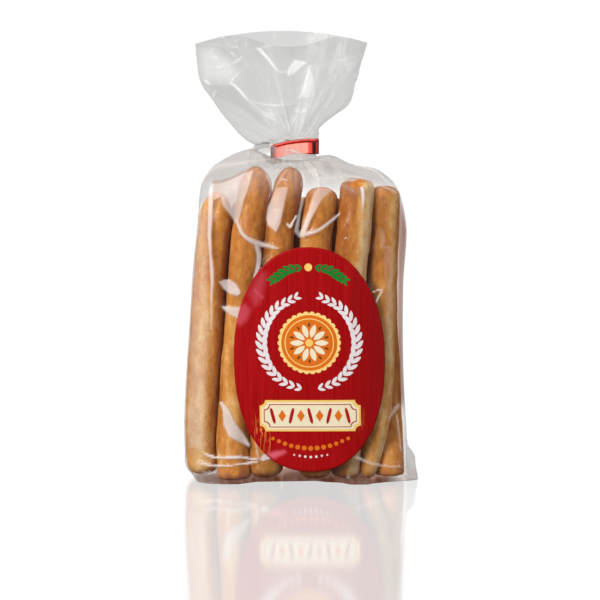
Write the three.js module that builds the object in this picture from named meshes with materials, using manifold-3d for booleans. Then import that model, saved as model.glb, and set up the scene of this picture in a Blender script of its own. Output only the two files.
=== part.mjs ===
// A clear bag of grissini breadsticks that stands upright: the bag is gathered and tied near the top,
// its open end flares out above the tie, and an oval label lies on the front.
// Millimetres, +Z up. The front faces -Y, and the flat base stands on Z = 0.
import * as THREE from "three";
import { mergeVertices } from "three/addons/utils/BufferGeometryUtils.js";
import Module from "manifold-3d";

const wasm = await Module();
wasm.setup();

// The bag's sections from the base up. Each gives the [x, z] of its left and right points and the
// [y, z] of its front and back points. An outline with square 2 is an ellipse, more is squarer, and
// less is pointed at both ends. pleat is how deep the film is folded there, as a share of the depth.
const sections = [
  // base, and the foot where its edge turns up
  { left: [-61.5, 0], right: [58, 0], front: [-22, 0], back: [22, 0], square: 5 },
  { left: [-64.6, 4], right: [59.2, 4], front: [-23, 4], back: [23, 4], square: 4.6 },
  // the straight body
  { left: [-64.6, 20], right: [58, 20], front: [-22.8, 20], back: [22.8, 20], square: 3.6 },
  { left: [-63, 62], right: [56.4, 62], front: [-22.6, 62], back: [22.6, 62], square: 3.3 },
  { left: [-56.6, 142], right: [57.7, 142], front: [-21.8, 142], back: [21.8, 142], square: 3.2 },
  // the shoulders, domed on the left and slanting on the right
  { left: [-53.6, 163.5], right: [51.5, 161.5], front: [-18.6, 162], back: [19, 162], square: 2.8 },
  { left: [-45, 173.6], right: [42, 169.6], front: [-14, 170], back: [14, 170], square: 2.4, pleat: 0.03 },
  { left: [-32, 180.2], right: [24, 174.4], front: [-9.6, 174], back: [9.8, 174], square: 2.2, pleat: 0.09 },
  { left: [-24.6, 181], right: [15, 176.2], front: [-8, 174.6], back: [8, 174.6], square: 2.2, pleat: 0.05 },
  // tucked in under the tie, and straight up through it
  { left: [-18.6, 174], right: [11, 176.6], front: [-6, 174], back: [6, 174], square: 2.2 },
  { left: [-15, 172.6], right: [8, 177.2], front: [-4.6, 174.6], back: [4.6, 174.6], square: 2.4 },
  { left: [-15, 184], right: [8, 187.6], front: [-4.6, 185.8], back: [4.6, 185.8], square: 2.4 },
  // spread out again above the tie, with a hem that droops on the left
  { left: [-25.7, 184], right: [8.4, 192.2], front: [-8, 190.4], back: [8, 190.4], square: 2, pleat: 0.08 },
  { left: [-39.3, 196], right: [14, 197], front: [-10.4, 197], back: [10.8, 197], square: 1.9, pleat: 0.12 },
  { left: [-48.6, 208.6], right: [25, 206], front: [-12, 207], back: [12.6, 207], square: 1.7, pleat: 0.08 },
  { left: [-55, 219], right: [30, 219], front: [-13.6, 219], back: [14.2, 220], square: 1.5, pleat: 0.05 },
  // the open rim
  { left: [-57.3, 238.4], right: [36, 239], front: [-14, 237], back: [15, 245.4], square: 1.4, pleat: 0.04 },
];
const ringsPerSection = 3;
const bagSides = 84;
const bodyTop = 142;
const mouthFloor = { x: -8, y: 0, z: 212 };

// The breadsticks press ridges into the film, which is drawn in between them, in front and behind.
// Each row gives the x of a breadstick's middle at its foot, half way up and at its tip.
const frontSticks = [
  [-54.2, -51.8, -46.2],
  [-37.6, -33.2, -25.2],
  [-18.8, -15, -6.4],
  [7.6, 7.9, 12.2],
  [24.2, 27, 30.6],
  [37.4, 40.6, 42.8],
];
const backSticks = [
  [-53, -51, -46.4],
  [-36.4, -34.4, -30.4],
  [-19.5, -18.4, -15],
  [-2.4, -1.8, 0.6],
  [14.2, 15.2, 16],
  [31.6, 31.8, 31],
  [48, 46.4, 45.9],
];
const stickTop = 160;
const ridges = { radius: 9.6, depth: 4.6, from: 4, footFade: 14, to: 166, topFade: 18 };
const pleatCount = 11;
// Both long edges of the foot wander out and in over the floor: [x, how far they stand out].
const hem = [
  [-62, 0],
  [-56, 6],
  [-34, 4.6],
  [-24, -2],
  [8, -4.4],
  [14, -1.4],
  [27, 5.4],
  [36, 6],
  [46, 0],
];
const hemShape = { height: 7, curve: 1.6, from: 0.3, full: 0.85 };
// A spare corner of film that sticks out at the foot, in front on the right.
const ear = { out: 7.4, height: 22, curve: 1.3, angle: -0.52, width: 0.3 };

// The oval label, which wraps the front with a small gap to the film.
const label = { x: 5.2, z: 68.4, halfWidth: 41.1, halfHeight: 61.2, thick: 0.4, gap: 0.4 };
const labelSides = 64;
const labelRings = 5;

// The tie is a flat band round the neck, twisted together at the back into two tails.
const tie = { left: -16.6, right: 9.8, halfDepth: 6.6, height: 7.2, z: 180.9, slope: 0.15, thick: 0.8 };
const tieShape = { square: 2.6, taper: 0.12, sides: 56 };
const tails = { length: 13, spread: 5.5, narrow: 2.4, wide: 6.6, steps: 14 };
// The shares of a tail's length over which it turns over, widens and bends to its side.
const tailShares = { turned: [0, 0.75], widened: [0.15, 0.8], bent: [0.2, 1.1] };

const paint = {
  bag: { color: 0xe6e6e4, roughness: 0.15, metalness: 0 },
  label: { color: 0xb0131b, roughness: 0.5, metalness: 0 },
  tie: { color: 0xd8363a, roughness: 0.25, metalness: 0.9 },
};

// A closed surface over rings of points that all have the same number of points. Each ring runs
// anticlockwise as seen from the next one. A chain of rings that isn't a loop is closed by a fan
// round its first and last centres.
function skin(rings, firstCentre, lastCentre) {
  const isLoop = !firstCentre;
  const sides = rings[0].length;
  const points = rings.flat();
  const faces = [];
  const spans = isLoop ? rings.length : rings.length - 1;
  for (let i = 0; i < spans; i++) {
    for (let j = 0; j < sides; j++) {
      const next = (i + 1) % rings.length;
      const a = i * sides + j;
      const b = i * sides + ((j + 1) % sides);
      const c = next * sides + ((j + 1) % sides);
      const d = next * sides + j;
      faces.push(a, b, c, a, c, d);
    }
  }
  if (!isLoop) {
    const first = points.push(firstCentre) - 1;
    const last = points.push(lastCentre) - 1;
    const top = (rings.length - 1) * sides;
    for (let j = 0; j < sides; j++) {
      const k = (j + 1) % sides;
      faces.push(first, k, j);
      faces.push(last, top + j, top + k);
    }
  }
  const geometry = new THREE.BufferGeometry().setFromPoints(points);
  geometry.setIndex(faces);
  geometry.computeVertexNormals();
  return geometry;
}

function mean(points) {
  return points.reduce((sum, p) => sum.add(p), new THREE.Vector3()).divideScalar(points.length);
}

// 0 below from, 1 above to, and smooth in between.
function rise(value, from, to) {
  return THREE.MathUtils.smoothstep(value, from, to);
}

function curveOf(side) {
  const points = sections.map((section) => new THREE.Vector3(section[side][0], 0, section[side][1]));
  return new THREE.CatmullRomCurve3(points, false, "centripetal");
}

const curves = {
  left: curveOf("left"),
  right: curveOf("right"),
  front: curveOf("front"),
  back: curveOf("back"),
};
const lastSection = sections.length - 1;

// Where the four sides of the bag lie at a place along the sections, and its outline there.
function sectionAt(place) {
  const t = place / lastSection;
  const below = Math.min(Math.floor(place), lastSection - 1);
  const between = (key) => {
    const [low, high] = [sections[below][key] ?? 0, sections[below + 1][key] ?? 0];
    return THREE.MathUtils.lerp(low, high, place - below);
  };
  return {
    left: curves.left.getPoint(t),
    right: curves.right.getPoint(t),
    front: curves.front.getPoint(t),
    back: curves.back.getPoint(t),
    square: between("square"),
    pleat: between("pleat"),
  };
}

// How far an outline reaches at this angle, for a unit outline. It is 1 on both axes.
function reachOf(square, c, s) {
  const power = Math.max(square, 2);
  return (Math.abs(c) ** power + Math.abs(s) ** power) ** (-1 / power);
}

// The value at x of a line through [x, value] points, level beyond its ends.
function alongLine(points, x) {
  const next = points.findIndex((point) => point[0] > x);
  if (next === 0) return points[0][1];
  if (next < 0) return points[points.length - 1][1];
  const [low, high] = [points[next - 1], points[next]];
  return THREE.MathUtils.mapLinear(x, low[0], high[0], low[1], high[1]);
}

// How far the film is drawn in behind the crests of the breadsticks on its side.
function ridgeAt(x, z, isFront) {
  const middles = (isFront ? frontSticks : backSticks).map(([foot, half, tip]) => {
    return alongLine([[0, foot], [stickTop / 2, half], [stickTop, tip]], z);
  });
  const inside = THREE.MathUtils.clamp(x, middles[0], middles[middles.length - 1]);
  const away = Math.min(...middles.map((middle) => Math.abs(inside - middle)), ridges.radius);
  const drawn = Math.min(ridges.radius - Math.sqrt(ridges.radius ** 2 - away ** 2), ridges.depth);
  const foot = rise(z, ridges.from, ridges.from + ridges.footFade);
  const top = 1 - rise(z, ridges.to - ridges.topFade, ridges.to);
  return drawn * foot * top;
}

function hemAt(x, z, s) {
  const low = Math.max(1 - z / hemShape.height, 0) ** hemShape.curve;
  return Math.sign(s) * alongLine(hem, x) * low * rise(Math.abs(s), hemShape.from, hemShape.full);
}

function earAt(z, angle) {
  const low = 1 - Math.min(z / ear.height, 1);
  return ear.out * low ** ear.curve * Math.exp(-(((angle - ear.angle) / ear.width) ** 2));
}

function bagPoint(place, angle) {
  const { left, right, front, back, square, pleat } = sectionAt(place);
  const c = Math.cos(angle);
  const s = Math.sin(angle);
  const reach = reachOf(square, c, s);
  const pinch = Math.abs(s) ** Math.max(2 - square, 0);
  const middle = (left.x + right.x) / 2;
  const half = (right.x - left.x) / 2;
  const isFront = s < 0;
  const depth = isFront ? -front.x : back.x;
  const z = c * c * (c < 0 ? left.z : right.z) + s * s * (isFront ? front.z : back.z);
  const folded = 1 + pleat * Math.sin(pleatCount * angle) * Math.abs(s);
  const x = middle + half * c * reach;
  const y = (depth - ridgeAt(x, z, isFront)) * s * reach * pinch * folded + hemAt(x, z, s);
  return new THREE.Vector3(x + earAt(z, angle), y, z);
}

function ringOf(sides, pointAt) {
  return Array.from({ length: sides }, (_, i) => {
    const turn = (2 * Math.PI * i) / sides;
    return pointAt(turn > Math.PI ? turn - 2 * Math.PI : turn);
  });
}

function bagGeometry() {
  const rings = [];
  for (let i = 0; i <= lastSection * ringsPerSection; i++) {
    rings.push(ringOf(bagSides, (angle) => bagPoint(i / ringsPerSection, angle)));
  }
  const mouth = new THREE.Vector3(mouthFloor.x, mouthFloor.y, mouthFloor.z);
  return skin(rings, mean(rings[0]), mouth);
}

// The place along the sections whose front point is at this height on the body.
function placeAtHeight(z) {
  let low = 0;
  let high = sections.findIndex((section) => section.front[1] > bodyTop);
  while (high - low > 1e-4) {
    const middle = (low + high) / 2;
    if (sectionAt(middle).front.z < z) low = middle;
    else high = middle;
  }
  return low;
}

// The front of the bag over the tops of its ridges.
function frontAt(x, z) {
  const { left, right, front, square } = sectionAt(placeAtHeight(z));
  const across = Math.abs((2 * x - left.x - right.x) / (right.x - left.x));
  return front.x * (1 - across ** square) ** (1 / square);
}

function labelGeometry() {
  const layer = (share, out) => {
    return ringOf(labelSides, (angle) => {
      const x = label.x + share * label.halfWidth * Math.cos(angle);
      const z = label.z + share * label.halfHeight * Math.sin(angle);
      return new THREE.Vector3(x, frontAt(x, z) - out, z);
    });
  };
  const shares = Array.from({ length: labelRings }, (_, i) => (i + 1) / labelRings);
  const inner = shares.map((share) => layer(share, label.gap));
  const outer = shares.map((share) => layer(share, label.gap + label.thick)).reverse();
  return skin([...inner, ...outer], mean(inner[0]), mean(outer[labelRings - 1]));
}

// The band's outline in plan, drawn in by inset on every side.
function tieOutline(angle, inset) {
  const c = Math.cos(angle);
  const s = Math.sin(angle);
  const reach = reachOf(tieShape.square, c, s);
  const half = (tie.right - tie.left) / 2 - inset;
  const depth = (tie.halfDepth - inset) * (1 - tieShape.taper * c);
  return { x: (tie.left + tie.right) / 2 + half * c * reach, y: depth * s * reach };
}

function tiePoint(angle, inset, up) {
  const { x, y } = tieOutline(angle, inset);
  const z = tie.z + tie.slope * (x - (tie.left + tie.right) / 2) + up;
  return new THREE.Vector3(x, y, z);
}

function bandGeometry() {
  const rings = ringOf(tieShape.sides, (angle) => [
    tiePoint(angle, tie.thick, -tie.height / 2),
    tiePoint(angle, tie.thick, tie.height / 2),
    tiePoint(angle, 0, tie.height / 2),
    tiePoint(angle, 0, -tie.height / 2),
  ]);
  return skin(rings);
}

// One tail leaves the back of the band narrow, turns over, and widens as it bends to its side.
function tailGeometry(side) {
  const start = tiePoint(Math.PI / 2, tie.thick / 2, 0);
  const rings = [];
  for (let i = 0; i <= tails.steps; i++) {
    const along = i / tails.steps;
    const spread = side * tails.spread * rise(along, ...tailShares.bent);
    const turn = side * Math.PI * rise(along, ...tailShares.turned);
    const width = THREE.MathUtils.lerp(tails.narrow, tails.wide, rise(along, ...tailShares.widened)) / 2;
    const thick = tie.thick / 2;
    const corners = [
      [thick, -width],
      [-thick, -width],
      [-thick, width],
      [thick, width],
    ];
    rings.push(
      corners.map(([across, up]) => {
        const x = start.x + spread + across * Math.cos(turn) - up * Math.sin(turn);
        const z = start.z + across * Math.sin(turn) + up * Math.cos(turn);
        return new THREE.Vector3(x, start.y + tails.length * along, z);
      }),
    );
  }
  return skin(rings, mean(rings[0]), mean(rings[tails.steps]));
}

function solidOf(geometry) {
  geometry.deleteAttribute("normal");
  const merged = mergeVertices(geometry, 1e-4);
  return new wasm.Manifold(
    new wasm.Mesh({
      numProp: 3,
      vertProperties: merged.attributes.position.array,
      triVerts: new Uint32Array(merged.index.array),
    }),
  );
}

function geometryOf(solid) {
  const mesh = solid.getMesh();
  const geometry = new THREE.BufferGeometry();
  geometry.setAttribute("position", new THREE.BufferAttribute(mesh.vertProperties, mesh.numProp));
  geometry.setIndex(new THREE.BufferAttribute(mesh.triVerts, 1));
  geometry.computeVertexNormals();
  return geometry;
}

function tieGeometry() {
  const pieces = [bandGeometry(), tailGeometry(-1), tailGeometry(1)].map(solidOf);
  return geometryOf(pieces.reduce((joined, piece) => joined.add(piece)));
}

function meshOf(name, geometry) {
  const mesh = new THREE.Mesh(geometry, new THREE.MeshStandardMaterial(paint[name]));
  mesh.name = name;
  return mesh;
}

const breadstickBag = new THREE.Group();
breadstickBag.add(meshOf("bag", bagGeometry()));
breadstickBag.add(meshOf("label", labelGeometry()));
breadstickBag.add(meshOf("tie", tieGeometry()));

export default breadstickBag;
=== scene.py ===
import math

import bmesh
import bpy
import numpy as np
from mathutils import Matrix, Vector


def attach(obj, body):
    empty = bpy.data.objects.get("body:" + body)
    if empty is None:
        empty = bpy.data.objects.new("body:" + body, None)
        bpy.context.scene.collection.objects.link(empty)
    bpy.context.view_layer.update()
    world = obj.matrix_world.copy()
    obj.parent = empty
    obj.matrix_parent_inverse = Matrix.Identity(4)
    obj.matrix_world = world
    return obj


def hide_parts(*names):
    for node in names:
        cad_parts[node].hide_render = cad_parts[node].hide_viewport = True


# A clear bag of breadsticks: film, thirteen breadsticks, a foil tie and an oval label with its print.
# Sizes in the settings are millimetres, and each finished mesh is brought to metres.
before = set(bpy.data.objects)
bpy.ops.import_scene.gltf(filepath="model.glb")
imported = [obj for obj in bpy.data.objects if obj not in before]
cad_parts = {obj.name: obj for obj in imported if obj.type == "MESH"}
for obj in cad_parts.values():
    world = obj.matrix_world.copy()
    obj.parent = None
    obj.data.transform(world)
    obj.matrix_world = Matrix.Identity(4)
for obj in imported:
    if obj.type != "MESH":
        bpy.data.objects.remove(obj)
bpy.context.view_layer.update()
scene = bpy.context.scene
scene.view_settings.view_transform = "Standard"
scene.cycles.transparent_max_bounces = 40
print("frame loaded")


# ---- meshes, curves and modifiers

def linked(name, data):
    item = bpy.data.objects.new(name, data)
    scene.collection.objects.link(item)
    return item


def meshPiece(name, points, faces, smooth=True):
    mesh = bpy.data.meshes.new(name)
    mesh.from_pydata([tuple(p) for p in np.asarray(points, float) * 0.001], [], faces)
    mesh.update()
    if smooth:
        mesh.shade_smooth()
    else:
        mesh.shade_flat()
    return linked(name, mesh)


def lineCurve(name, points):
    data = bpy.data.curves.new(name, "CURVE")
    data.dimensions = "3D"
    spline = data.splines.new("POLY")
    spline.points.add(len(points) - 1)
    for point, place in zip(spline.points, points):
        point.co = (*place, 1)
    return linked(name, data)


def gridFaces(rows, columns, closed):
    spans = columns if closed else columns - 1
    low = np.arange(rows - 1)[:, None] * columns
    left = np.arange(spans)[None, :]
    right = (left + 1) % columns
    quads = np.stack([low + left, low + right, low + columns + right, low + columns + left], -1)
    return quads.reshape(-1, 4).tolist()


def ringFaces(rows, columns):
    # a grid that closes on itself both ways
    return [[value % (rows * columns) for value in quad] for quad in gridFaces(rows + 1, columns, True)]


def storeValues(piece, **fields):
    for name, values in fields.items():
        layer = piece.data.attributes.new(name, "FLOAT", "POINT")
        layer.data.foreach_set("value", np.asarray(values, np.float32).ravel())


def smoothStep(value, start, full):
    # rises from 0 at the start to 1 where it is full, which may lie below the start
    share = np.clip((np.asarray(value, float) - start) / (full - start), 0, 1)
    return share * share * (3 - 2 * share)


def bakedMesh(name, source, tree, inputs):
    # runs a node tree on the source object and keeps the plain mesh that comes out, in metres
    modifier = source.modifiers.new(tree.name, "NODES")
    modifier.node_group = tree
    for item in tree.interface.items_tree:
        if item.in_out == "INPUT" and item.name in inputs:
            value = inputs[item.name]
            isNumber = item.socket_type == "NodeSocketFloat"
            modifier[item.identifier] = float(value) if isNumber else value
    bpy.context.view_layer.update()
    evaluated = source.evaluated_get(bpy.context.evaluated_depsgraph_get())
    mesh = bpy.data.meshes.new_from_object(evaluated, preserve_all_data_layers=True)
    mesh.name = name
    mesh.transform(Matrix.Scale(0.001, 4))
    bpy.data.objects.remove(source)
    return linked(name, mesh)


# ---- node trees

def addNode(tree, kind, inputs=None, **settings):
    # an input is a value, a socket, or a node, which stands for its first output
    node = tree.nodes.new(kind)
    for key, value in settings.items():
        setattr(node, key, value)
    for key, value in (inputs or {}).items():
        socket = node.inputs[key]
        if isinstance(value, bpy.types.Node):
            value = value.outputs[0]
        if isinstance(value, bpy.types.NodeSocket):
            tree.links.new(value, socket)
        elif socket.type == "RGBA":
            socket.default_value = (*value[:3], 1)
        else:
            socket.default_value = value
    return node


def calc(tree, operation, *values, clamp=False):
    inputs = dict(enumerate(values))
    return addNode(tree, "ShaderNodeMath", inputs, operation=operation, use_clamp=clamp).outputs[0]


def swing(tree, value, gain, middle=0.0, clamp=False):
    # makes a noise from 0 to 1 swing about the middle
    return calc(tree, "MULTIPLY_ADD", calc(tree, "SUBTRACT", value, 0.5), gain, middle, clamp=clamp)


def vectorCalc(tree, operation, first, second):
    inputs = {0: first, ("Scale" if operation == "SCALE" else 1): second}
    node = addNode(tree, "ShaderNodeVectorMath", inputs, operation=operation)
    return node.outputs["Value" if operation == "DOT_PRODUCT" else 0]


def part(tree, vector, axis):
    return addNode(tree, "ShaderNodeSeparateXYZ", {0: vector}).outputs[axis]


def eased(tree, value, low, high):
    limits = {"Value": value, "From Min": low, "From Max": high}
    return addNode(tree, "ShaderNodeMapRange", limits, interpolation_type="SMOOTHSTEP").outputs[0]


def seededNoise(tree, place, seed, scale, detail):
    # swings from -1 to 1, and differs with the seed
    inputs = {"Vector": place, "W": seed, "Scale": scale, "Detail": detail}
    return swing(tree, addNode(tree, "ShaderNodeTexNoise", inputs, noise_dimensions="4D").outputs[0], 2)


def objectNoise(tree, scale, stretch, detail, roughness):
    place = addNode(tree, "ShaderNodeTexCoord").outputs["Object"]
    mapping = addNode(tree, "ShaderNodeMapping", {"Vector": place, "Scale": stretch})
    noise = {"Vector": mapping, "Scale": scale, "Detail": detail, "Roughness": roughness}
    return addNode(tree, "ShaderNodeTexNoise", noise).outputs[0]


def attribute(tree, name):
    return addNode(tree, "ShaderNodeAttribute", attribute_name=name).outputs["Fac"]


def ramp(tree, value, stops):
    node = addNode(tree, "ShaderNodeValToRGB", {"Fac": value})
    elements = node.color_ramp.elements
    while len(elements) < len(stops):
        elements.new(0.5)
    for element, (place, colour) in zip(elements, stops):
        element.position = place
        element.color = (*colour, 1)
    return node.outputs["Color"]


def mixColour(tree, share, first, second):
    inputs = {"Factor": share, 6: first, 7: second}
    return addNode(tree, "ShaderNodeMix", inputs, data_type="RGBA").outputs[2]


def mixShader(tree, share, first, second):
    return addNode(tree, "ShaderNodeMixShader", {0: share, 1: first, 2: second})


def bumped(tree, height, strength, distance):
    inputs = {"Height": height, "Strength": strength, "Distance": distance}
    return addNode(tree, "ShaderNodeBump", inputs).outputs["Normal"]


def newMaterial(name):
    material = bpy.data.materials.new(name)
    material.use_nodes = True
    material.node_tree.nodes.clear()
    return material, material.node_tree


def paint(tree, colour, rough, normal, specular, metal=0):
    inputs = {"Base Color": colour, "Roughness": rough, "Normal": normal,
              "Specular IOR Level": specular, "Metallic": metal}
    addNode(tree, "ShaderNodeOutputMaterial", {0: addNode(tree, "ShaderNodeBsdfPrincipled", inputs)})


def modifierTree(name, sockets):
    # takes in geometry and named inputs, whose names are listed by their kind
    tree = bpy.data.node_groups.new(name, "GeometryNodeTree")
    tree.is_modifier = True
    tree.interface.new_socket("Geometry", in_out="OUTPUT", socket_type="NodeSocketGeometry")
    for kind, names in {"Geometry": ("Geometry",), **sockets}.items():
        for item in names:
            tree.interface.new_socket(item, in_out="INPUT", socket_type="NodeSocket" + kind)
    return tree, tree.nodes.new("NodeGroupInput").outputs


def smoothedCurve(tree, curve):
    return addNode(tree, "GeometryNodeCurveSplineType", {"Curve": curve}, spline_type="CATMULL_ROM")


def indexShare(tree, count):
    # runs from 0 at the first of the points to 1 at the last
    index = tree.nodes.new("GeometryNodeInputIndex").outputs[0]
    return calc(tree, "DIVIDE", index, calc(tree, "SUBTRACT", count, 1))


def closeTree(tree, geometry, material):
    real = addNode(tree, "GeometryNodeRealizeInstances", {"Geometry": geometry})
    coated = addNode(tree, "GeometryNodeSetMaterial", {"Geometry": real, "Material": material})
    addNode(tree, "NodeGroupOutput", {0: coated})
    return tree


# ---- camera, lights and floor

cameraSettings = {"target": (-0.55, 0, 98), "distance": 1200, "elevation": 7, "lens": 130.5}
lightSettings = {
    "key": {"place": (-620, -760, 560), "size": (420, 620), "power": 14.3, "colour": (1, 0.985, 0.96)},
    "fill": {"place": (760, -700, 260), "size": (300, 700), "power": 2.8, "colour": (0.97, 0.98, 1)},
    "top": {"place": (60, -120, 900), "size": (700, 500), "power": 2.6, "colour": (1, 1, 1)},
}
lightTarget = (0, 0, 100)
roomSettings = {"backdrop": 1.0, "room": 0.19, "edge": (0.0, 0.35)}
floorSettings = {"half": 6000, "below": 0.3, "mirror": 0.46, "blur": 0.09, "seen": 1.19, "bounce": 0.38}


def stand(name, data, place, aim):
    item = linked(name, data)
    item.location = Vector(place) * 0.001
    item.rotation_euler = aim.to_track_quat("-Z", "Y").to_euler()
    return item


def placeCamera(settings):
    data = bpy.data.cameras.new("camera")
    data.lens = settings["lens"]
    data.sensor_width = 36
    data.clip_start = 0.05
    tilt = math.radians(settings["elevation"])
    back = Vector((0, -math.cos(tilt), math.sin(tilt)))
    place = Vector(settings["target"]) + back * settings["distance"]
    scene.camera = stand("camera", data, place, -back)


def placeLamp(name, settings):
    data = bpy.data.lights.new(name, "AREA")
    data.shape = "RECTANGLE"
    data.size, data.size_y = (value * 0.001 for value in settings["size"])
    data.energy = settings["power"]
    data.color = settings["colour"]
    aim = (Vector(lightTarget) - Vector(settings["place"])).normalized()
    return stand(name, data, settings["place"], aim)


def makeRoom(settings):
    # a white backdrop behind, and a dimmer room on the other sides for the film to mirror
    world = bpy.data.worlds.new("studio")
    scene.world = world
    world.use_nodes = True
    tree = world.node_tree
    tree.nodes.clear()
    depth = part(tree, addNode(tree, "ShaderNodeTexCoord").outputs["Generated"], "Y")
    low, high = settings["edge"]
    limits = {"Value": depth, "From Min": low, "From Max": high,
              "To Min": settings["room"], "To Max": settings["backdrop"]}
    around = addNode(tree, "ShaderNodeMapRange", limits)
    isSeen = addNode(tree, "ShaderNodeLightPath").outputs["Is Camera Ray"]
    background = {"Color": (1, 1, 1), "Strength": calc(tree, "MAXIMUM", around, isSeen)}
    addNode(tree, "ShaderNodeOutputWorld", {0: addNode(tree, "ShaderNodeBackground", background)})


def makeFloor(settings, lamps):
    half, z = settings["half"], -settings["below"]
    corners = [(-half, -half, z), (half, -half, z), (half, half, z), (-half, half, z)]
    floor = meshPiece("floor", corners, [(0, 1, 2, 3)], smooth=False)
    material, tree = newMaterial("whiteFloor")
    isSeen = addNode(tree, "ShaderNodeLightPath").outputs["Is Camera Ray"]
    bounce = settings["bounce"]
    strength = calc(tree, "MULTIPLY_ADD", isSeen, settings["seen"] - bounce, bounce)
    glow = addNode(tree, "ShaderNodeEmission", {"Strength": strength})
    mirror = addNode(tree, "ShaderNodeBsdfGlossy", {"Roughness": settings["blur"]})
    addNode(tree, "ShaderNodeOutputMaterial", {0: mixShader(tree, settings["mirror"], glow, mirror)})
    floor.data.materials.append(material)
    # the lamps leave the floor out, so that it doesn't mirror them as white cards
    for lamp in lamps:
        leftOut = bpy.data.collections.new(lamp.name + "LeftOut")
        lamp.light_linking.receiver_collection = leftOut
        leftOut.objects.link(floor)
        leftOut.collection_objects[0].light_linking.link_state = "EXCLUDE"


placeCamera(cameraSettings)
lamps = [placeLamp(name, settings) for name, settings in lightSettings.items()]
makeRoom(roomSettings)
makeFloor(floorSettings, lamps)
print("camera, lights and floor placed")


# ---- the bag's surface, from the same sections as the solid

bagSections = [  # left and right: (x, z); front and back: (y, z); how square; pleat depth
    ((-58.4, 0), (58, 0), (-22, 0), (22, 0), 5, 0),
    ((-60.9, 2.8), (59.2, 4), (-23, 4), (23, 4), 4.6, 0),
    ((-63.9, 6.8), (59, 9), (-23, 9), (22.9, 9), 4.2, 0),
    ((-64, 20), (58.7, 20), (-22.8, 20), (22.8, 20), 3.6, 0),
    ((-62.2, 62), (56.4, 62), (-22.6, 62), (22.6, 62), 3.3, 0),
    ((-59, 104), (56.1, 104), (-22.2, 104), (22.2, 104), 3.2, 0),
    ((-56.4, 142), (57.4, 142), (-21.8, 142), (21.8, 142), 3.2, 0),
    ((-53.6, 163.5), (51.5, 161.5), (-18.6, 162), (19, 162), 2.8, 0),
    ((-45, 173.6), (42, 169.6), (-14, 170), (14, 170), 2.4, 0.03),
    ((-32, 180.2), (24, 174.4), (-9.6, 174), (9.8, 174), 2.2, 0.09),
    ((-24.6, 181), (15, 176.2), (-8, 174.6), (8, 174.6), 2.2, 0.05),
    ((-18.6, 174), (11, 176.6), (-6, 174), (6, 174), 2.2, 0),
    ((-15, 172.6), (8, 177.2), (-4.6, 174.6), (4.6, 174.6), 2.4, 0),
    ((-15, 184), (9.2, 188.2), (-4.6, 185.8), (4.6, 185.8), 2.4, 0),
    ((-25.7, 184), (9.8, 192.4), (-8, 190.4), (8, 190.4), 2, 0.08),
    ((-39.3, 196), (14, 197), (-10.4, 197), (10.8, 197), 1.9, 0.12),
    ((-48.6, 208.6), (26.2, 206), (-12, 207), (12.6, 207), 1.7, 0.08),
    ((-55, 219), (30, 219), (-13.6, 219), (14.2, 220), 1.5, 0.05),
    ((-57.3, 238.4), (36, 239), (-14, 237), (15, 245.4), 1.4, 0.04),
]
neckPlace = 12.5  # the two film pieces meet here, inside the tie
pleatCount = 11
cornerEar = {"out": 7.2, "from": 12, "to": 21, "flare": 6, "share": 0.3, "angle": -0.52, "width": 0.3}


def curveAt(points, place):
    # a centripetal Catmull-Rom curve through the points, at places counted in points
    points = np.asarray(points, float)
    padded = np.concatenate([[2 * points[0] - points[1]], points, [2 * points[-1] - points[-2]]])
    index = np.clip(np.floor(place).astype(int), 0, len(points) - 2)
    share = (place - index)[..., None]
    p0, p1, p2, p3 = (padded[index + i] for i in range(4))
    first, middle, last = (
        np.sqrt(np.linalg.norm(b - a, axis=-1, keepdims=True)) for a, b in ((p0, p1), (p1, p2), (p2, p3))
    )
    t1 = ((p1 - p0) / first - (p2 - p0) / (first + middle) + (p2 - p1) / middle) * middle
    t2 = ((p2 - p1) / middle - (p3 - p1) / (middle + last) + (p3 - p2) / last) * middle
    square = -3 * p1 + 3 * p2 - 2 * t1 - t2
    cube = 2 * p1 - 2 * p2 + t1 + t2
    return p1 + t1 * share + square * share**2 + cube * share**3


def smoothLine(points, steps):
    points = np.asarray(points, float)
    return curveAt(points, np.linspace(0, len(points) - 1, steps))


def squareReach(c, s, power):
    # how far a rounded square reaches in the direction (c, s), in shares of its half width and depth
    return (np.abs(c) ** power + np.abs(s) ** power) ** (-1 / power)


def sectionAt(place):
    place = np.asarray(place, float)
    left, right, front, back = (curveAt([s[i] for s in bagSections], place) for i in range(4))
    places = np.arange(len(bagSections))
    square = np.interp(place, places, [s[4] for s in bagSections])
    pleat = np.interp(place, places, [s[5] for s in bagSections])
    return left, right, front, back, square, pleat


def bagSurface(place, angle, groove=None):
    # points for every place and angle; groove(x, z, s) draws the film in between the breadsticks
    left, right, front, back, square, pleat = (v[:, None] for v in sectionAt(place))
    c, s = np.cos(angle)[None, :], np.sin(angle)[None, :]
    reach = squareReach(c, s, np.maximum(square, 2))
    pinch = np.abs(s) ** np.maximum(2 - square, 0)
    middle = (left[..., 0] + right[..., 0]) / 2
    half = (right[..., 0] - left[..., 0]) / 2
    depth = np.where(s < 0, -front[..., 0], back[..., 0])
    sideZ = np.where(c < 0, left[..., 1], right[..., 1])
    faceZ = np.where(s < 0, front[..., 1], back[..., 1])
    z = c * c * sideZ + s * s * faceZ
    folded = 1 + pleat * np.sin(pleatCount * angle)[None, :] * np.abs(s)
    x = middle + half * c * reach
    drawn = groove(x, z, s) if groove else 0
    y = (depth - drawn) * s * reach * pinch * folded
    flare = np.clip(1 - z / cornerEar["flare"], 0, 1) ** 1.5
    low = (1 - cornerEar["share"]) * smoothStep(z, cornerEar["to"], cornerEar["from"])
    low = low + cornerEar["share"] * flare
    spread = ((angle[None, :] - cornerEar["angle"]) / cornerEar["width"]) ** 2
    return np.stack([x + cornerEar["out"] * low * np.exp(-spread), y, z], -1)


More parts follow.
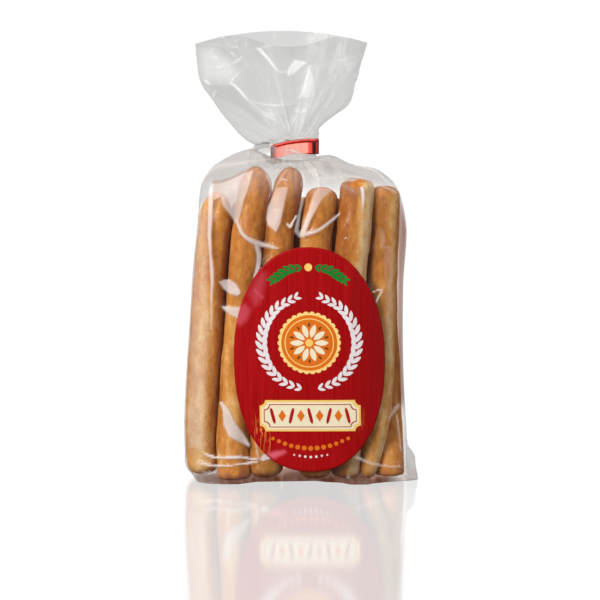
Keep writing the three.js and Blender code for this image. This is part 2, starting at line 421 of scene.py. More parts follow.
lastLabelSection = 7
frontCurve = sectionAt(np.linspace(0, lastLabelSection, 80 * lastLabelSection + 1))


def frontAt(x, z):
    # the front of the bag, bridging from ridge to ridge, where the label lies
    left, right, front, _, square, _ = frontCurve
    heights = front[:, 1]
    low, high, depth = (np.interp(z, heights, v) for v in (left[:, 0], right[:, 0], front[:, 0]))
    power = np.interp(z, heights, square)
    across = np.clip(np.abs((2 * x - low - high) / (high - low)), 0, 0.999)
    return depth * (1 - across**power) ** (1 / power)


# ---- breadsticks

# Side Shade is painted shade: how much darker the crust is at the sides, where neighbouring breadsticks
# stand
stickSettings = {
    "Rings": 230, "Sides": 56, "Clustered": 0.8, "Radius Noise": 0.55, "Bumps": 0.32, "Pits": 0.1,
    "Side Bake": 0.12,
}
# Each line runs from the foot to the tip, and the radius grows from the foot's over the first stretch.
# A foot's and a tip's depth is how far back they begin to round off. pale is the side where the stick is
# lighter, which drifts on the way up; it is partly paler crust and partly painted light on the lit side.
# toast is how much darker the whole stick is baked; the crust adds painted shade to it.
breadsticks = {
    "breadstickA": {"radius": 9.1, "foot": 8.7, "footDepth": 8, "tip": (15, 1.8), "pale": (-0.5, -0.85),
        "drift": (-0.5, 0.7), "paleness": 0.5, "toast": 0,
        "line": [(-53.6, -5, 2), (-54.9, -5, 16), (-54.9, -5, 30), (-53.9, -5, 51), (-51.8, -5, 82),
                 (-49.4, -5, 117), (-47.7, -5, 132), (-46.2, -5, 147), (-44.9, -5, 158.4)]},
    "breadstickB": {"radius": 9, "foot": 9.3, "footDepth": 2.6, "tip": (12, 1.7), "pale": (-0.7, -0.6),
        "paleness": 0.26, "toast": 0.11,
        "line": [(-36.6, -15, 0.3), (-37.4, -13, 22), (-36.2, -12.5, 43), (-33.1, -12, 83),
                 (-29.7, -11.6, 127), (-27.5, -11, 142), (-24.8, -9, 160), (-24.8, -7.4, 172.4)]},
    "breadstickC": {"radius": 8.1, "foot": 9.5, "footDepth": 8, "tip": (12, 2), "pale": (-0.5, -0.8),
        "paleness": 0.16, "toast": 0.2,
        "line": [(-18.6, -12.8, 1.6), (-19.4, -13.1, 14), (-19.2, -13, 26), (-17.4, -12.2, 46),
                 (-12.4, -11.6, 128), (-11.1, -11.2, 142), (-9.4, -10.4, 151.5), (-6.6, -8.4, 162),
                 (-4.6, -6.6, 171.6)]},
    "breadstickD": {"radius": 8.8, "foot": 9, "tip": (7, 2.3), "pale": (-0.8, -0.5), "paleness": 0.3,
        "toast": 0.05,
        "line": [(7.6, -12.6, 1), (7.8, -12, 60), (8.1, -11.4, 128), (8.7, -11, 137), (10.9, -9.8, 151),
                 (12.2, -7.8, 160.6)]},
    "breadstickE": {"radius": 9.3, "foot": 8.6, "tip": (7, 2.6), "pale": (0.88, -0.48), "paleness": 1.8,
        "toast": 0.17,
        "line": [(24.8, -9.6, 0.5), (26.2, -9.8, 40), (26.6, -12, 80), (26.2, -12.4, 109),
                 (28.8, -12, 138), (30.3, -9.6, 155), (30.7, -8, 165.8)]},
    "breadstickF": {"radius": 8.2, "foot": 4.6, "footDepth": 8, "tip": (6, 2.4), "pale": (0.9, -0.35),
        "paleness": 0.8, "toast": 0.07,
        "line": [(36.8, -14.4, 1.2), (40.4, -11, 26), (43, -7.4, 60), (44, -7, 95), (45.2, -5.6, 131),
                 (45.9, -3.4, 161.2)]},
    "breadstickG": {"radius": 8, "foot": 8.6, "footDepth": 2.8, "tip": (6, 2.6), "pale": (0.9, -0.3),
        "paleness": 0.1, "toast": 0.12,
        "line": [(48.6, -6.9, 0.9), (48.6, -5.6, 9), (48.4, 2.2, 27), (47.3, 8, 60), (45.4, 10.2, 95),
                 (45, 12.4, 131), (45, 11, 150)]},
    "breadstickH": {"radius": 8.2, "foot": 8, "tip": (9, 2), "pale": (-1, 0.3), "paleness": 0.5,
        "toast": 0,
        "line": [(-53, 12.4, 1.6), (-51.4, 12.2, 60), (-46.4, 11.4, 149)]},
    "breadstickI": {"radius": 8.3, "foot": 8.3, "tip": (8, 2.2), "pale": (0.2, 1), "paleness": 0.4,
        "toast": 0.1,
        "line": [(-36.4, 9.8, 1.6), (-34.6, 10.4, 70), (-30.4, 9, 153)]},
    "breadstickJ": {"radius": 8.3, "foot": 8.5, "tip": (11, 1.8), "pale": (-0.3, 1), "paleness": 0.8,
        "toast": 0,
        "line": [(-19.5, 9.6, 1.6), (-18.4, 11.4, 80), (-15, 8.6, 157)]},
    "breadstickK": {"radius": 8.5, "foot": 8.2, "tip": (7, 2.4), "pale": (0.8, 0.5), "paleness": 0.5,
        "toast": 0.08,
        "line": [(-2.4, 10.4, 1.6), (-1.8, 12.2, 75), (0.6, 9, 154)]},
    "breadstickL": {"radius": 8.3, "foot": 8.6, "tip": (9, 2), "pale": (-0.5, 1), "paleness": 0.3,
        "toast": 0.05,
        "line": [(14.2, 10.2, 1.6), (15.2, 12, 80), (16, 9, 155)]},
    "breadstickM": {"radius": 8.2, "foot": 8.2, "tip": (8, 2.2), "pale": (0, 1), "paleness": 0.6,
        "toast": 0.02,
        "line": [(31.6, 11.8, 1.6), (31.8, 12.8, 75), (31, 10, 158)]},
}
footGrows = 38  # the length over which the radius grows
plainFootDepth = 5.4


def breadTree():
    tree, given = modifierTree("breadstick", {
        "Int": ("Rings", "Sides"),
        "Float": ("Seed", "Radius", "Foot Radius", "Clustered", "Radius Noise", "Bumps", "Pits", "Tip Depth",
                  "Tip Power", "Foot Depth", "Paleness", "Toast", "Side Bake"),
        "Vector": ("Pale Side", "Pale Drift"),
        "Material": ("Crust",)})

    # a line of points gathered towards both ends, laid along the smooth centreline
    smooth = smoothedCurve(tree, given["Geometry"])
    even = addNode(tree, "GeometryNodeResampleCurve", {"Curve": smooth, "Count": 400})
    line = addNode(tree, "GeometryNodeCurvePrimitiveLine", mode="POINTS")
    points = addNode(tree, "GeometryNodeResampleCurve", {"Curve": line, "Count": given["Rings"]})
    share = indexShare(tree, given["Rings"])
    wave = calc(tree, "SINE", calc(tree, "MULTIPLY", share, 2 * math.pi))
    shift = calc(tree, "DIVIDE", calc(tree, "MULTIPLY", wave, given["Clustered"]), 2 * math.pi)
    warped = calc(tree, "SUBTRACT", share, shift, clamp=True)
    reached = {"Curves": even, "Factor": warped}
    sample = addNode(tree, "GeometryNodeSampleCurve", reached, use_all_curves=True)
    places = {"Geometry": points, "Position": sample.outputs["Position"]}
    laid = addNode(tree, "GeometryNodeSetPosition", places)

    # the radius: a foot of its own width, slow swells, and a rounded end at both ends
    length = addNode(tree, "GeometryNodeCurveLength", {"Curve": even}).outputs[0]
    along = calc(tree, "MULTIPLY", warped, length)
    spread = calc(tree, "SUBTRACT", given["Radius"], given["Foot Radius"])
    plain = calc(tree, "MULTIPLY_ADD", eased(tree, along, 0, footGrows), spread, given["Foot Radius"])
    place = addNode(tree, "ShaderNodeCombineXYZ", {"X": calc(tree, "MULTIPLY", along, 0.028)})
    swell = seededNoise(tree, place, given["Seed"], 1.0, 2)
    swollen = calc(tree, "MULTIPLY_ADD", swell, given["Radius Noise"], plain)

    def endCurve(distance, depth, power):
        near = calc(tree, "SUBTRACT", 1, calc(tree, "DIVIDE", distance, depth), clamp=True)
        left = calc(tree, "SUBTRACT", 1, calc(tree, "POWER", near, power), clamp=True)
        return calc(tree, "POWER", left, calc(tree, "DIVIDE", 1, power))

    tip = endCurve(calc(tree, "SUBTRACT", length, along), given["Tip Depth"], given["Tip Power"])
    ends = calc(tree, "MULTIPLY", endCurve(along, given["Foot Depth"], 2.7), tip)
    circle = {"Resolution": given["Sides"], "Radius": 1}
    profile = addNode(tree, "GeometryNodeCurvePrimitiveCircle", circle, mode="RADIUS")
    swept = {"Curve": laid, "Profile Curve": profile, "Scale": calc(tree, "MULTIPLY", swollen, ends)}
    tube = addNode(tree, "GeometryNodeCurveToMesh", swept)
    closed = addNode(tree, "GeometryNodeMergeByDistance", {"Geometry": tube, "Distance": 0.02})

    # crust relief: broad dents, then finer blisters
    position = tree.nodes.new("GeometryNodeInputPosition").outputs[0]
    normal = tree.nodes.new("GeometryNodeInputNormal").outputs[0]

    def relief(scale, detail, stretch):
        flat = vectorCalc(tree, "MULTIPLY", position, (1, 1, stretch))
        return seededNoise(tree, flat, given["Seed"], scale, detail)

    broad = calc(tree, "MULTIPLY", relief(0.11, 2, 0.6), given["Bumps"])
    fine = calc(tree, "MULTIPLY", relief(0.55, 3, 0.8), given["Pits"])
    height = calc(tree, "ADD", calc(tree, "MULTIPLY", broad, 2.2), calc(tree, "MULTIPLY", fine, 2))
    offset = {"Geometry": closed, "Offset": vectorCalc(tree, "SCALE", normal, height)}
    crusted = addNode(tree, "GeometryNodeSetPosition", offset)

    # toast runs from 0, pale, to 1, dark: paler on one side, partly as painted light,
    # darker at the tips, with long streaks, and darker at the sides as painted shade
    upShare = eased(tree, part(tree, position, "Z"), 60, 150)
    drifted = vectorCalc(tree, "SCALE", given["Pale Drift"], upShare)
    paleWay = vectorCalc(tree, "ADD", given["Pale Side"], drifted)
    paleShare = eased(tree, vectorCalc(tree, "DOT_PRODUCT", normal, paleWay), 0.35, 0.95)
    # painted shade: the crust darkens at the sides, which face the neighbouring breadsticks
    sideShadeShare = eased(tree, calc(tree, "ABSOLUTE", part(tree, normal, "X")), 0.55, 1.0)
    level = calc(tree, "MULTIPLY_ADD", upShare, 0.16, calc(tree, "ADD", given["Toast"], 0.5))
    level = calc(tree, "MULTIPLY_ADD", sideShadeShare, given["Side Bake"], level)
    level = calc(tree, "MULTIPLY_ADD", relief(0.06, 2, 0.5), 0.3, level)
    level = calc(tree, "MULTIPLY_ADD", relief(0.2, 3, 0.16), 0.34, level)
    # the pale side is partly paler crust and partly painted light on the lit side
    lighter = calc(tree, "MULTIPLY", calc(tree, "MULTIPLY", paleShare, given["Paleness"]), 0.42)
    toastAndShadeValue = calc(tree, "SUBTRACT", level, lighter, clamp=True)
    toast = {"Geometry": crusted, "Name": "toast", "Value": toastAndShadeValue}
    named = addNode(tree, "GeometryNodeStoreNamedAttribute", toast, data_type="FLOAT", domain="POINT")
    shaded = addNode(tree, "GeometryNodeSetShadeSmooth", {"Geometry": named})
    return closeTree(tree, shaded, given["Crust"])


crustColours = {
    "toast": [(0.0, (0.79, 0.55, 0.29)), (0.3, (0.65, 0.355, 0.12)), (0.56, (0.55, 0.215, 0.036)),
              (1.0, (0.31, 0.085, 0.008))],
    "flour": (0.9, 0.78, 0.6),
}


def crustMaterial(colours):
    material, tree = newMaterial("breadCrust")
    mottle = objectNoise(tree, 260, (1, 1, 0.55), 4, 0.62)
    speckle = objectNoise(tree, 1500, (1, 1, 0.8), 2, 0.6)
    shade = swing(tree, mottle, 1.0, attribute(tree, "toast"))
    shade = swing(tree, speckle, 0.6, shade)
    flour = calc(tree, "MULTIPLY", calc(tree, "GREATER_THAN", speckle, 0.66), 0.16)
    colour = mixColour(tree, flour, ramp(tree, shade, colours["toast"]), colours["flour"])
    rough = calc(tree, "MULTIPLY_ADD", mottle, 0.25, 0.5)
    fine = calc(tree, "MULTIPLY_ADD", speckle, 0.5, mottle)
    paint(tree, colour, rough, bumped(tree, fine, 0.6, 0.0006), 0.15)
    return material


def makeBreadsticks(sticks, settings):
    tree = breadTree()
    crust = crustMaterial(crustColours)
    for number, (name, stick) in enumerate(sticks.items()):
        inputs = {"Seed": 3.7 * number + 1, "Radius": stick["radius"], "Foot Radius": stick["foot"],
                  "Tip Depth": stick["tip"][0], "Tip Power": stick["tip"][1],
                  "Foot Depth": stick.get("footDepth", plainFootDepth),
                  "Pale Side": Vector((*stick["pale"], 0)).normalized(),
                  "Pale Drift": Vector((*stick.get("drift", (0, 0)), 0)),
                  "Paleness": stick["paleness"], "Toast": stick["toast"], "Crust": crust}
        piece = bakedMesh(name, lineCurve(name + "Line", stick["line"]), tree, {**settings, **inputs})
        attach(piece, "root")
        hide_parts("bag")


makeBreadsticks(breadsticks, stickSettings)
print("breadsticks baked:", len(breadsticks))


# ---- film

filmSettings = {
    "frontColumns": 250, "backColumns": 130, "rowStep": 0.86, "mouthRowStep": 0.645, "baseRings": 14,
    "stickGap": 0.6, "seed": 11,
}
grooveSettings = {"depth": 2.0, "from": 8, "to": 160, "fade": 16}
ovalLabel = {"x": 4.6, "z": 68.4, "halfWidth": 41.1, "halfHeight": 61.2, "gap": 0.4, "thick": 0.4,
             "square": 2.14, "lean": 0.014, "lowSquare": 2.26, "lower": 0.7}


def veil(milk, edge, lift, outline, grey=0, warm=0, shade=0, fade=None):
    # A patch of painted sheen, where the film stands off the bread and mirrors the lamps, as milky haze:
    # how milky it is, how soft its edge is, how far the film stands out there and its outline in (x, z).
    # It may also say how grey or warm the back wall is, as painted shade and reflection, how much painted
    # shade the front takes there, and the line along which it fades to the last number.
    return {"milk": milk, "edge": edge, "lift": lift, "outline": outline, "grey": grey, "warm": warm,
            "shade": shade, "fade": fade}


frontVeils = {
    "leftShoulder": veil(0.5, 0.6, 0.4, [
        (-48.7, 163), (-43.3, 163.6), (-39.1, 165), (-30.8, 168.8), (-25.6, 170.6), (-27.9, 162.1),
        (-30.8, 154.6), (-33.8, 142.1), (-35.5, 142.1), (-38, 146.3), (-42.1, 151.3), (-43.7, 156.3),
        (-46.3, 154.6), (-48.8, 153.5)], grey=0.6, warm=0.5, fade=((-27, 163), (-48, 158), 0.72)),
    "leftStreak": veil(0.64, 0.5, 0.4, [
        (-49.8, 160.3), (-47.6, 162.8), (-47.6, 154.6), (-47.9, 145), (-48.6, 135.4), (-48.3, 125.4),
        (-47.4, 116.7), (-47.4, 110.2), (-48.2, 101.5), (-48.5, 84), (-48.9, 84), (-49.2, 101.5),
        (-49, 110.2), (-49.4, 116.7), (-49.8, 125.4), (-50.6, 135.4), (-50.4, 145), (-50, 154.6)],
        fade=((-50, 150), (-48, 84), 0.7)),
    "secondStick": veil(0.56, 0.5, 0.5, [
        (-13.4, 161.4), (-6.8, 161.6), (-8.8, 153.7), (-11.2, 142.1), (-13.4, 137.6), (-17.9, 141.2),
        (-18.8, 144.8), (-17.9, 151.1)], fade=((-17, 142), (-8, 160), 0.7)),
    "middleFold": veil(0.36, 0.4, 0.8, [
        (0, 171.7), (1.3, 159.8), (0, 154.4), (-2.7, 142.5), (-3.8, 137.6), (-0.8, 134.6), (0.3, 136.5),
        (-1.4, 138.6), (-0.3, 146.3), (1.9, 157.1), (2.7, 165.2)]),
    "thirdStick": veil(0.68, 0.5, 0.5, [
        (-1.1, 135.6), (1.2, 140.7), (3.9, 148.4), (5.7, 154.7), (7, 159.2), (10.3, 161.3), (17.8, 160.8),
        (11.6, 155.6), (8.9, 151.1), (5.2, 143.9), (1.6, 134.9)], fade=((2, 140), (14, 161), 0.45)),
    "fourthStick": veil(0.8, 0.4, 0.4, [
        (31.5, 164.2), (32.9, 162.6), (34.3, 160.4), (34, 154.5), (33.1, 147.4), (32.7, 154.5),
        (32.2, 160.2)]),
    "upperPatch": veil(0.68, 0.5, 0.4, [
        (-44.7, 110.3), (-41.5, 111.3), (-38, 111.1), (-35.4, 109.6), (-33.6, 107), (-32.6, 104.3),
        (-34.4, 103), (-38.4, 103.6), (-42, 106.4)], fade=((-33, 104), (-44, 110), 0.6)),
    "lowerPatch": veil(0.64, 0.4, 0.4, [
        (-43.4, 97), (-38, 96.6), (-31.5, 96.8), (-31.5, 90.4), (-35, 91), (-39, 92.8), (-41.8, 94.9)]),
    "outerLeft": veil(0.18, 1.6, 0, [
        (-62, 18), (-61.5, 60), (-59, 104), (-56.4, 142), (-54, 150), (-50.8, 150), (-50.4, 120),
        (-50.2, 84), (-52.4, 50), (-53, 18)]),
    "outerRight": veil(0.01, 3, 0, [
        (38.5, 128), (38.5, 148), (41, 159), (47.5, 158), (47.5, 140), (45.5, 128)], shade=0.16),
    "shadeRight": veil(0, 1.7, 0, [
        (38.5, 159), (46, 156.5), (45.8, 146), (44.4, 135), (42.4, 125), (40.8, 112), (39.4, 100),
        (35.6, 100), (36.5, 120), (38, 140)], shade=0.42),
    "shadeMiddle": veil(0, 1.6, 0, [
        (-22.4, 142), (-19.6, 142), (-17.6, 128), (-20, 112), (-22.6, 112), (-22, 128)], shade=0.46),
    "shadeFourth": veil(0, 2, 0, [
        (20, 104), (21.5, 150), (24, 163), (30, 163), (29.5, 150), (28, 104)], shade=0.06),
    "topBand": veil(0.18, 0.9, 0.2, [
        (22, 164.6), (25, 169), (36.5, 169), (37.5, 163), (33, 162.6), (30, 164)], shade=0.14),
    "shadeSecond": veil(0, 3, 0, [(-38, 122), (-31, 122), (-30, 96), (-38.5, 96)], shade=0.12),
    "footShade": veil(0, 2.4, 0, [
        (-8, 0.5), (-8, 12), (12, 12), (22, 16), (33.5, 24), (35, 14), (34.5, 0.5)], shade=0.36),
    "footShadeRight": veil(0, 3, 0, [(36, 1), (36.5, 26), (41, 34), (46, 24), (46, 1)], shade=0.16),
    "footShadeLeft": veil(0, 3, 0, [(-26, 2), (-25, 18), (-15, 14), (-10, 2)], shade=0.3),
    "footPatch": veil(0.7, 0.4, 0.3, [
        (-22.4, 13), (-20.8, 15.7), (-19, 16.4), (-15, 15), (-17.6, 13.2), (-20.8, 12.2)]),
    "leftCorner": veil(0.05, 1.6, 0, [
        (-57, 163), (-53, 168), (-49.8, 166), (-50.2, 152), (-57, 149)], grey=0.5),
    "streakRight": veil(0.13, 0.8, 0.2, [
        (42.6, 139), (45.2, 138), (45.6, 130), (50, 129), (50.4, 96), (49.6, 66), (46.4, 66), (45.6, 100),
        (45, 128), (43, 129)]),
    "leaf": veil(0.59, 0.4, 0.5, [
        (-44.4, 44.3), (-42.6, 44.5), (-38.8, 40), (-35.9, 33.3), (-30.1, 24.8), (-28, 21), (-28.3, 19.7),
        (-35.1, 23.3), (-39.3, 25.7), (-42, 31.6), (-42.6, 39.2)]),
    "rightFan": veil(0.3, 0.9, 0.4, [
        (48.1, 33.7), (49, 37.4), (51.2, 40.8), (53.8, 42.8), (54.6, 40.6), (52.6, 39.1), (50.4, 36.6)]),
    "neckFold": veil(0.42, 0.7, 0.5, [
        (0.8, 175.5), (5.8, 173.8), (9.5, 168.5), (9.9, 159.8), (6.4, 158.9), (5.9, 167.3), (2.4, 172.4)],
        grey=0.45, fade=((2, 175), (9, 160), 0.55)),
    "shoulderShade": veil(0, 1.5, 0, [
        (10.5, 175), (17, 174.6), (18.6, 170.4), (21, 166.4), (15.4, 167), (11.6, 169.6)], grey=0.95),
    "shoulderPatch": veil(0.26, 0.7, 0.4, [(17.4, 167.8), (21.2, 170.3), (24.9, 166.2), (24.1, 164.1)]),
}
# Creases, whose milkiness is a painted highlight along the fold: how milky each is, how far it stands
# out, and (x, z, half the width) along it.
frontCreases = {
    "apex": (0.5, 0.5, [
        (-34.8, 143.5, 0.7), (-31.3, 136.2, 1.1), (-24.2, 131.7, 1.5), (-12.5, 128.9, 0.3)]),
    "branch": (0.46, 0.4, [
        (-24.6, 131.7, 1.2), (-22.8, 124.9, 1.4), (-23.4, 119, 1.1), (-25.4, 113, 0.4)]),
    "rimOfSecond": (0.4, 0.3, [(-21.3, 171.9, 0.3), (-17, 164.8, 0.5), (-15.7, 160.3, 0.3)]),
    "valley": (0.56, 0.5, [(-0.1, 135.6, 1.2), (9.2, 138.6, 0.9), (16, 143.4, 0.8), (20.9, 147.4, 0.3)]),
    "glint": (0.9, 0.3, [(-7.4, 141.8, 0.3), (-6, 140.6, 0.8), (-4.6, 142.9, 0.4), (-2.5, 146.5, 0.1)]),
    "dab": (0.45, 0.3, [(-11.7, 164.9, 0.1), (-9.6, 165.9, 0.4), (-7.6, 164.9, 0.1)]),
    "dabBelow": (0.75, 0.2, [(-14, 149.6, 0.1), (-12.6, 148.9, 0.3), (-11.4, 149.7, 0.1)]),
    "lowLeft": (0.74, 0.5, [
        (-52.7, 15.7, 0.2), (-50, 14.6, 0.6), (-46, 13.8, 0.3), (-36.8, 14.4, 0.9), (-30.1, 13.8, 0.4),
        (-23.5, 13, 0.2)]),
    "lowestLeft": (0.7, 0.5, [
        (-56.5, 10.6, 0.2), (-48.2, 9.4, 0.6), (-42.7, 9.4, 0.35), (-35.2, 10.4, 0.3), (-30, 10.9, 0.5),
        (-23.9, 11.9, 0.3)]),
    "footLine": (0.34, 0.3, [(-24.5, 22.4, 0.2), (-23.9, 17, 0.4), (-22.6, 12.8, 0.3)]),
    "lowRight": (0.36, 0.4, [
        (21.2, 17.9, 0.3), (30.8, 13.9, 0.5), (38.7, 10.7, 0.5), (47.4, 9, 0.4), (55.7, 8.1, 0.2)]),
    "rightLine": (0.3, 0.3, [(52.5, 36.3, 0.2), (53.8, 26, 0.5), (54.8, 16.3, 0.2)]),
    "shoulderLine": (0.46, 0.5, [
        (28.3, 172, 0.3), (39.9, 169.5, 0.7), (45.8, 164.5, 0.7), (51.6, 159.9, 0.4)]),
    "neckEdge": (0.5, 0.4, [
        (-1.4, 176.6, 0.2), (3, 174.6, 0.5), (7.6, 169.8, 0.6), (9.4, 162.4, 0.5), (9, 158.6, 0.2)]),
    "shelf": (0.34, 0.4, [
        (10.4, 166.4, 0.5), (17, 166.2, 0.8), (24, 167.2, 0.9), (31, 166.6, 0.6), (36.6, 164.6, 0.2)]),
    "topCrease": (0.42, 0.3, [(41.4, 162.2, 0.2), (47.4, 160.2, 0.5), (52.7, 157.2, 0.3)]),
    "topGlint": (0.5, 0.2, [(48.8, 163, 0.2), (51.2, 161.6, 0.5), (53, 159.6, 0.3)]),
    "topShelf": (0.42, 0.3, [(20.6, 164, 0.2), (24.6, 165, 0.6), (29.6, 165, 0.6), (32, 164.2, 0.2)]),
    "shoulderFold": (0.3, 0.5, [
        (9.5, 166.2, 0.3), (12, 164.1, 0.5), (17.4, 167, 0.6), (24.9, 164.5, 0.3)]),
    "leftArc": (0.3, 0.3, [
        (-53.6, 162.5, 0.3), (-51.5, 166.7, 0.6), (-48.1, 170, 0.5), (-41, 173.8, 0.3)]),
    "tick": (0.6, 0.3, [
        (39, 104.8, 0.1), (43.4, 106, 0.4), (44, 105.4, 0.4), (42.4, 102.6, 0.4), (40.7, 99.1, 0.4)]),
    "rightBand": (0.3, 0.2, [
        (54.2, 160, 0.8), (55, 120, 1.2), (55.2, 82.1, 1.2), (56, 43.1, 1.2), (57.4, 3.8, 0.8)]),
}


def alongLine(x, z, start, end):
    # how far along the line the nearest place is, from 0 at its start to 1 at its end
    dx, dz = end[0] - start[0], end[1] - start[1]
    return np.clip(((x - start[0]) * dx + (z - start[1]) * dz) / (dx * dx + dz * dz), 0, 1)


def lineDistance(x, z, start, end):
    share = alongLine(x, z, start, end)
    dx, dz = end[0] - start[0], end[1] - start[1]
    return np.hypot(x - start[0] - share * dx, z - start[1] - share * dz)


def insideDistance(x, z, outline):
    # distance to a closed outline, positive inside it
    outline = np.asarray(outline, float)
    nearest = np.full(x.shape, 1e9)
    inside = np.zeros(x.shape, bool)
    for (x0, z0), (x1, z1) in zip(outline, np.roll(outline, -1, 0)):
        nearest = np.minimum(nearest, lineDistance(x, z, (x0, z0), (x1, z1)))
        crosses = (z0 > z) != (z1 > z)
        slope = (x1 - x0) / (z1 - z0 if z1 != z0 else 1e-9)
        inside ^= crosses & (x < x0 + (z - z0) * slope)
    return np.where(inside, nearest, -nearest)


def nearBox(x, z, points, margin):
    points = np.asarray(points, float)
    low, high = points.min(0) - margin, points.max(0) + margin
    return (x > low[0]) & (x < high[0]) & (z > low[1]) & (z < high[1])


def waveField(random, x, z, count, shortest, longest):
    # a smooth random field: a sum of waves in many directions
    total = np.zeros(x.shape)
    for _ in range(count):
        length = shortest * (longest / shortest) ** random.random()
        turn = random.uniform(-math.pi, math.pi)
        phase = random.uniform(0, 2 * math.pi)
        total += np.sin(2 * math.pi * (x * math.cos(turn) + z * math.sin(turn)) / length + phase)
    return total / math.sqrt(count / 2)


def veilFields(x, z, isFront, veils, creases):
    # how milky the film is with painted sheen, how grey, warm and shaded it is with painted shade and
    # reflection, and how far it stands out, from the veils and creases
    fields = {name: np.zeros(x.shape) for name in ("milk", "lift", "grey", "warm", "shade")}
    random = np.random.default_rng(3)

    def atLeast(name, where, values):
        fields[name][where] = np.maximum(fields[name][where], values)

    for patch in veils.values():
        near = isFront & nearBox(x, z, patch["outline"], 3)
        nearX, nearZ = x[near], z[near]
        distance = insideDistance(nearX, nearZ, patch["outline"])
        share = smoothStep(distance, -patch["edge"], patch["edge"])
        if patch["grey"] or patch["warm"]:
            behind = smoothStep(insideDistance(x, z, patch["outline"]), -patch["edge"], patch["edge"])
            atLeast("grey", ..., patch["grey"] * behind)
            atLeast("warm", ..., patch["warm"] * behind * ~isFront)
        atLeast("shade", near, patch["shade"] * share)
        if patch["fade"]:
            start, end, rest = patch["fade"]
            share = share * (1 + (rest - 1) * alongLine(nearX, nearZ, start, end))
        share = share * (0.96 + 0.04 * waveField(random, nearX, nearZ, 5, 7, 24))
        # painted sheen: the patch whitens the film
        atLeast("milk", near, patch["milk"] * share)
        atLeast("lift", near, patch["lift"] * smoothStep(distance, -1.5, 1.2))
    for milk, lift, places in creases.values():
        line = smoothLine(places, 6 * len(places))
        near = isFront & nearBox(x, z, line[:, :2], 4)
        steps = [lineDistance(x[near], z[near], a, b) for a, b in zip(line, line[1:])]
        distance = np.min(steps, 0)
        width = line[np.argmin(steps, 0), 2]
        atLeast("milk", near, milk * smoothStep(distance, width + 0.35, width * 0.5))
        atLeast("lift", near, lift * np.exp(-((distance / 1.2) ** 2)))
    return fields


def foldFan(random, spoke, counts, sharpness):
    # sharp folds that fan out from the neck, in several sets over each other
    folds = np.zeros(spoke.shape)
    for count in counts:
        folds += (1 - np.abs(np.sin(count * spoke / 2 + random.uniform(0, 6)))) ** sharpness
    return folds


def stickPhase(x, z):
    # counts the front breadsticks from left to right: whole numbers on their crests
    lines = [np.array(stick["line"], float) for stick in list(breadsticks.values())[:6]]
    crests = [np.interp(z, line[:, 2], line[:, 0]) for line in lines]
    crests = [crests[0] - 19, *crests, crests[-1] + 15]
    phase = np.zeros(x.shape)
    for number, (low, high) in enumerate(zip(crests, crests[1:])):
        share = np.clip((x - low) / (high - low), 0, 1)
        phase = np.where(x >= low, number + share, phase)
    return phase


def ovalShare(x, z, sideMargin, endMargin):
    # 1 on an ellipse that stands out from the label by the margins, and less inside it
    u = (x - ovalLabel["x"]) / (ovalLabel["halfWidth"] + sideMargin)
    w = (z - ovalLabel["z"]) / (ovalLabel["halfHeight"] + endMargin)
    return u * u + w * w


def filmGroove(x, z, s):
    low, high, fade = grooveSettings["from"], grooveSettings["to"], grooveSettings["fade"]
    ends = smoothStep(z, low, low + fade) * smoothStep(z, high, high - fade)
    wave = (1 - np.cos(2 * math.pi * stickPhase(x, z))) / 2
    underLabel = smoothStep(ovalShare(x, z, 1, 1), 1.15, 0.95) * (s < 0)
    return grooveSettings["depth"] * ends * wave * (1 - underLabel)


# How the film is pushed off the breadsticks: balls along each, how far the first and the last one stand off
# the foot and the tip, how near a point has to be, and how much of the push may be upwards.
pushSettings = {"balls": 120, "offFoot": -1, "offTip": -0.6, "nearby": 12, "upward": 0.2}


def stickCapsules(sticks, settings):
    # each breadstick as balls along its centreline, with their radii
    balls = []
    for stick in sticks:
        centres = smoothLine(stick["line"], settings["balls"])
        run = np.concatenate([[0], np.cumsum(np.linalg.norm(np.diff(centres, axis=0), axis=1))])
        first = stick["foot"] + settings["offFoot"]
        last = run[-1] - stick["radius"] - settings["offTip"]
        inner = (run > first) & (run < last)
        radii = stick["foot"] + (stick["radius"] - stick["foot"]) * smoothStep(run, 0, footGrows)
        balls.append((centres[inner], radii[inner]))
    return balls


def pushOut(points, balls, gap, settings):
    # moves the film's points outside every breadstick
    flat = points.reshape(-1, 3).copy()
    for centres, radii in balls:
        low, high = centres.min(0) - settings["nearby"], centres.max(0) + settings["nearby"]
        near = np.all((flat > low) & (flat < high), axis=1)
        moved = flat[near]
        offsets = moved[:, None, :] - centres[None, :, :]
        reach = np.linalg.norm(offsets, axis=-1) - radii[None, :]
        nearest = reach.argmin(1)
        rows = np.arange(len(moved))
        missing = np.maximum(gap - reach[rows, nearest], 0)
        away = offsets[rows, nearest]
        away[:, 2] *= settings["upward"]
        away /= np.maximum(np.linalg.norm(away, axis=1, keepdims=True), 1e-6)
        flat[near] = moved + away * missing[:, None]
    return flat.reshape(points.shape)


def filmAngles(front, back):
    # angles round the bag, evenly spaced along its outline, and closer together on the front
    turn = np.linspace(-math.pi, math.pi, 4001)
    points = bagSurface(np.array([4.0]), turn)[0]
    steps = np.linalg.norm(np.diff(points, axis=0), axis=1)
    middle = (turn[1:] + turn[:-1]) / 2
    isFront = middle < 0
    weight = np.where(isFront, front / steps[isFront].sum(), back / steps[~isFront].sum())
    reached = np.concatenate([[0], np.cumsum(steps * weight)])
    wanted = np.arange(front + back) * reached[-1] / (front + back)
    return np.interp(wanted, reached, turn)


def filmPlaces(start, end, step):
    # places along the sections, a step apart on average
    fine = np.linspace(start, end, 2001)
    left, right, front, _, _, _ = sectionAt(fine)
    runs = [np.linalg.norm(np.diff(side, axis=0), axis=1) for side in (left, right, front)]
    reached = np.concatenate([[0], np.cumsum(np.mean(runs, 0))])
    count = int(reached[-1] / step) + 1
    return np.interp(np.linspace(0, reached[-1], count), reached, fine)


